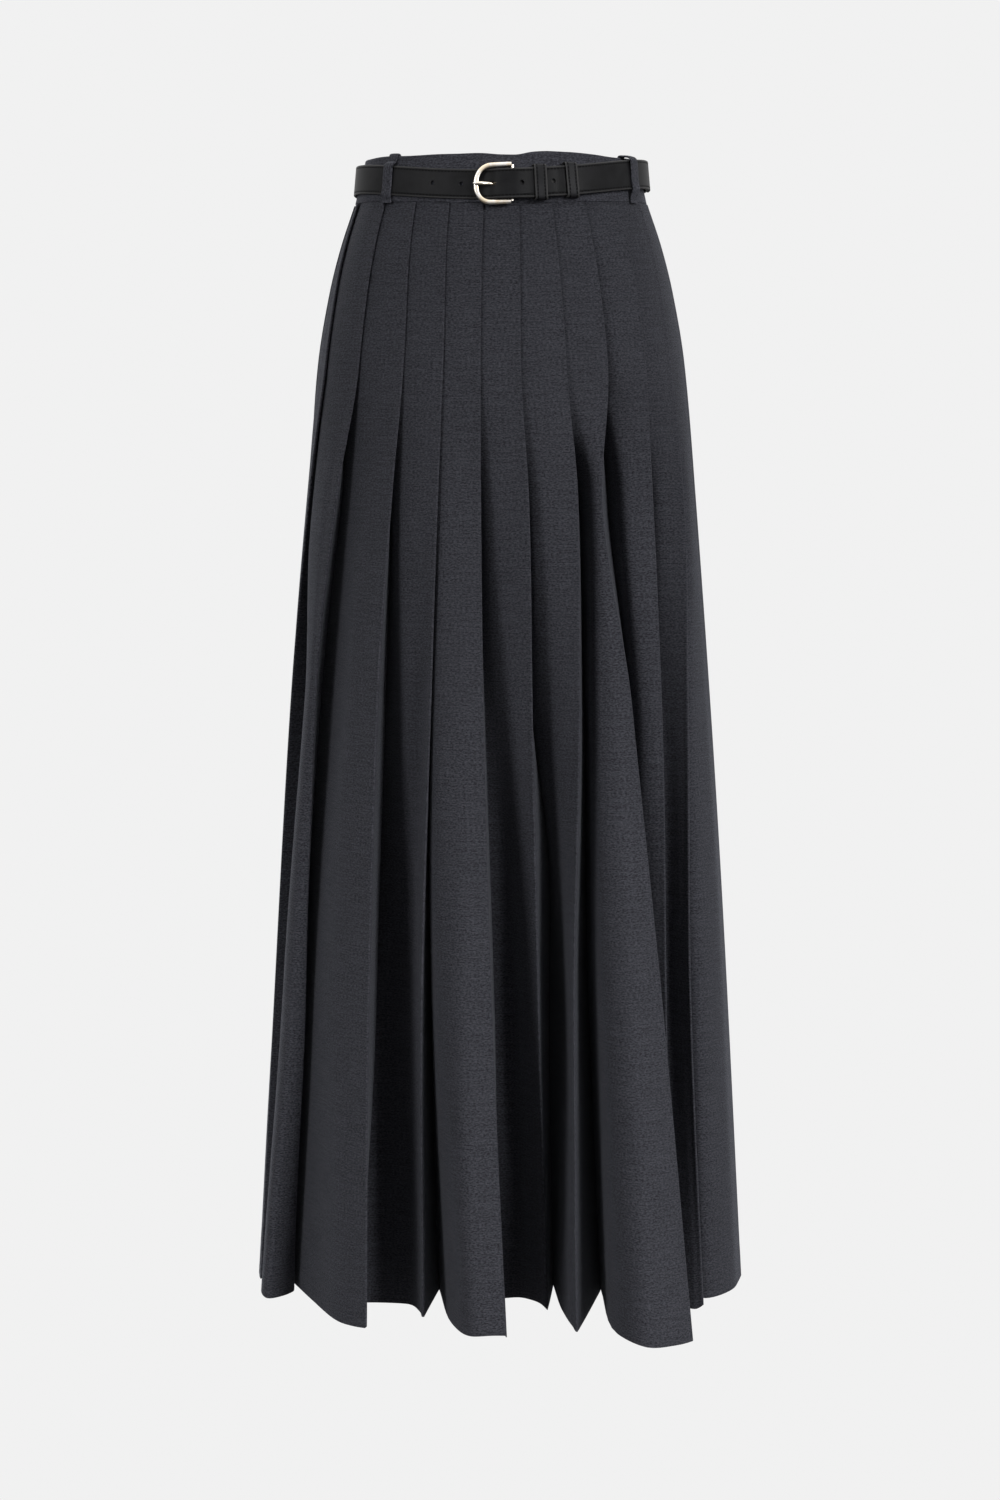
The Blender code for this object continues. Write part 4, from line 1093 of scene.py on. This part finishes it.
# ------------------------------------------------------------------ the stage
camera_data = bpy.data.cameras.new('camera')
camera = bpy.data.objects.new('camera', camera_data)
bpy.context.scene.collection.objects.link(camera)
camera_data.sensor_fit, camera_data.sensor_width = 'AUTO', 36.0
camera_data.lens = 60.0
camera.location = (-0.0009, -2.163, -0.261)
LOOKS_DOWN = 5.71                   # degrees
camera.rotation_euler = (math.radians(90 - LOOKS_DOWN), 0, 0)
bpy.context.scene.camera = camera

FLOOR_Z = -1.10                     # metres; the skirt hangs clear of it
AIM = (0.0, 0.0, -1.25)             # below the hem, so the top gets less light
SPREAD = 52.0                       # degrees
PAPER = 0.879                       # the studio's pale grey, as the camera sees it
BOUNCE = 0.13                       # what the floor gives back to the cloth
ROOM_LIGHT, BEHIND_LIGHT = 0.038, 0.5       # on the cloth from the front, and from behind
MIRRORED_LOW, MIRRORED_HIGH = 0.2, 1.7      # what metal and leather mirror, low and high


def soft_box(name, place, size, power, mirrored=True):
    data = bpy.data.lights.new(name, 'AREA')
    data.shape, data.size, data.size_y = 'RECTANGLE', size[0], size[1]
    data.energy, data.spread = power, math.radians(SPREAD)
    lamp = bpy.data.objects.new(name, data)
    lamp.location = place
    lamp.visible_glossy = mirrored
    lamp.rotation_euler = (Vector(AIM) - Vector(place)).to_track_quat('-Z', 'Y').to_euler()
    bpy.context.scene.collection.objects.link(lamp)


soft_box('key', (2.6, -2.9, 0.7), (1.3, 2.0), 11.2)
soft_box('fill', (-2.6, -2.7, 0.5), (1.2, 2.0), 5.4)
soft_box('left rim', (-1.4, 2.5, 0.0), (0.6, 2.4), 6.6, False)
soft_box('right rim', (1.4, 2.5, 0.0), (0.6, 2.4), 6.2, False)


def studio(name):
    """An even backdrop, dim for the cloth's own light, brighter behind the
    object and where polished metal and leather mirror the room."""
    world = bpy.data.worlds.new(name)
    bpy.context.scene.world = world
    world.use_nodes = True
    tree = world.node_tree
    sky = tree.nodes['Background']
    rays = tree.nodes.new('ShaderNodeLightPath')
    way = tree.nodes.new('ShaderNodeTexCoord')
    parts = tree.nodes.new('ShaderNodeSeparateXYZ')
    room = tree.nodes.new('ShaderNodeMapRange')
    shine = tree.nodes.new('ShaderNodeMapRange')
    gloss = tree.nodes.new('ShaderNodeMix')
    look = tree.nodes.new('ShaderNodeMix')
    for ramp, values in ((room, (-0.1, 0.45, ROOM_LIGHT, BEHIND_LIGHT)),
                         (shine, (-0.35, 0.75, MIRRORED_LOW, MIRRORED_HIGH))):
        for socket, value in zip(('From Min', 'From Max', 'To Min', 'To Max'), values):
            ramp.inputs[socket].default_value = value
    look.inputs['B'].default_value = PAPER
    links = ((way.outputs['Generated'], parts.inputs[0]),
             (parts.outputs['Y'], room.inputs['Value']),
             (parts.outputs['Z'], shine.inputs['Value']),
             (rays.outputs['Is Glossy Ray'], gloss.inputs['Factor']),
             (room.outputs[0], gloss.inputs['A']), (shine.outputs[0], gloss.inputs['B']),
             (gloss.outputs[0], look.inputs['A']),
             (rays.outputs['Is Camera Ray'], look.inputs['Factor']),
             (look.outputs[0], sky.inputs['Strength']))
    for start, end in links:
        tree.links.new(start, end)
    sky.inputs['Color'].default_value = (1.0, 1.0, 1.0, 1.0)


studio('studio')
bpy.context.scene.view_settings.view_transform = 'Standard'

bpy.ops.object.select_all(action='DESELECT')
bpy.ops.mesh.primitive_plane_add(size=16.0, location=(0, 0, FLOOR_Z))
floor = bpy.context.object
floor.name = 'floor'
paper = Finish('pale paper', (0.88, 0.88, 0.88))
seen = paper.node('ShaderNodeLightPath')
glow = paper.mix(seen, (BOUNCE, BOUNCE, BOUNCE, 1.0), (PAPER, PAPER, PAPER, 1.0))
paper.feed(Base_Color=(0.0, 0.0, 0.0, 1.0), Roughness=1.0, Specular_IOR_Level=0.0,
           Emission_Color=glow, Emission_Strength=1.0)
floor.data.materials.append(paper.material)
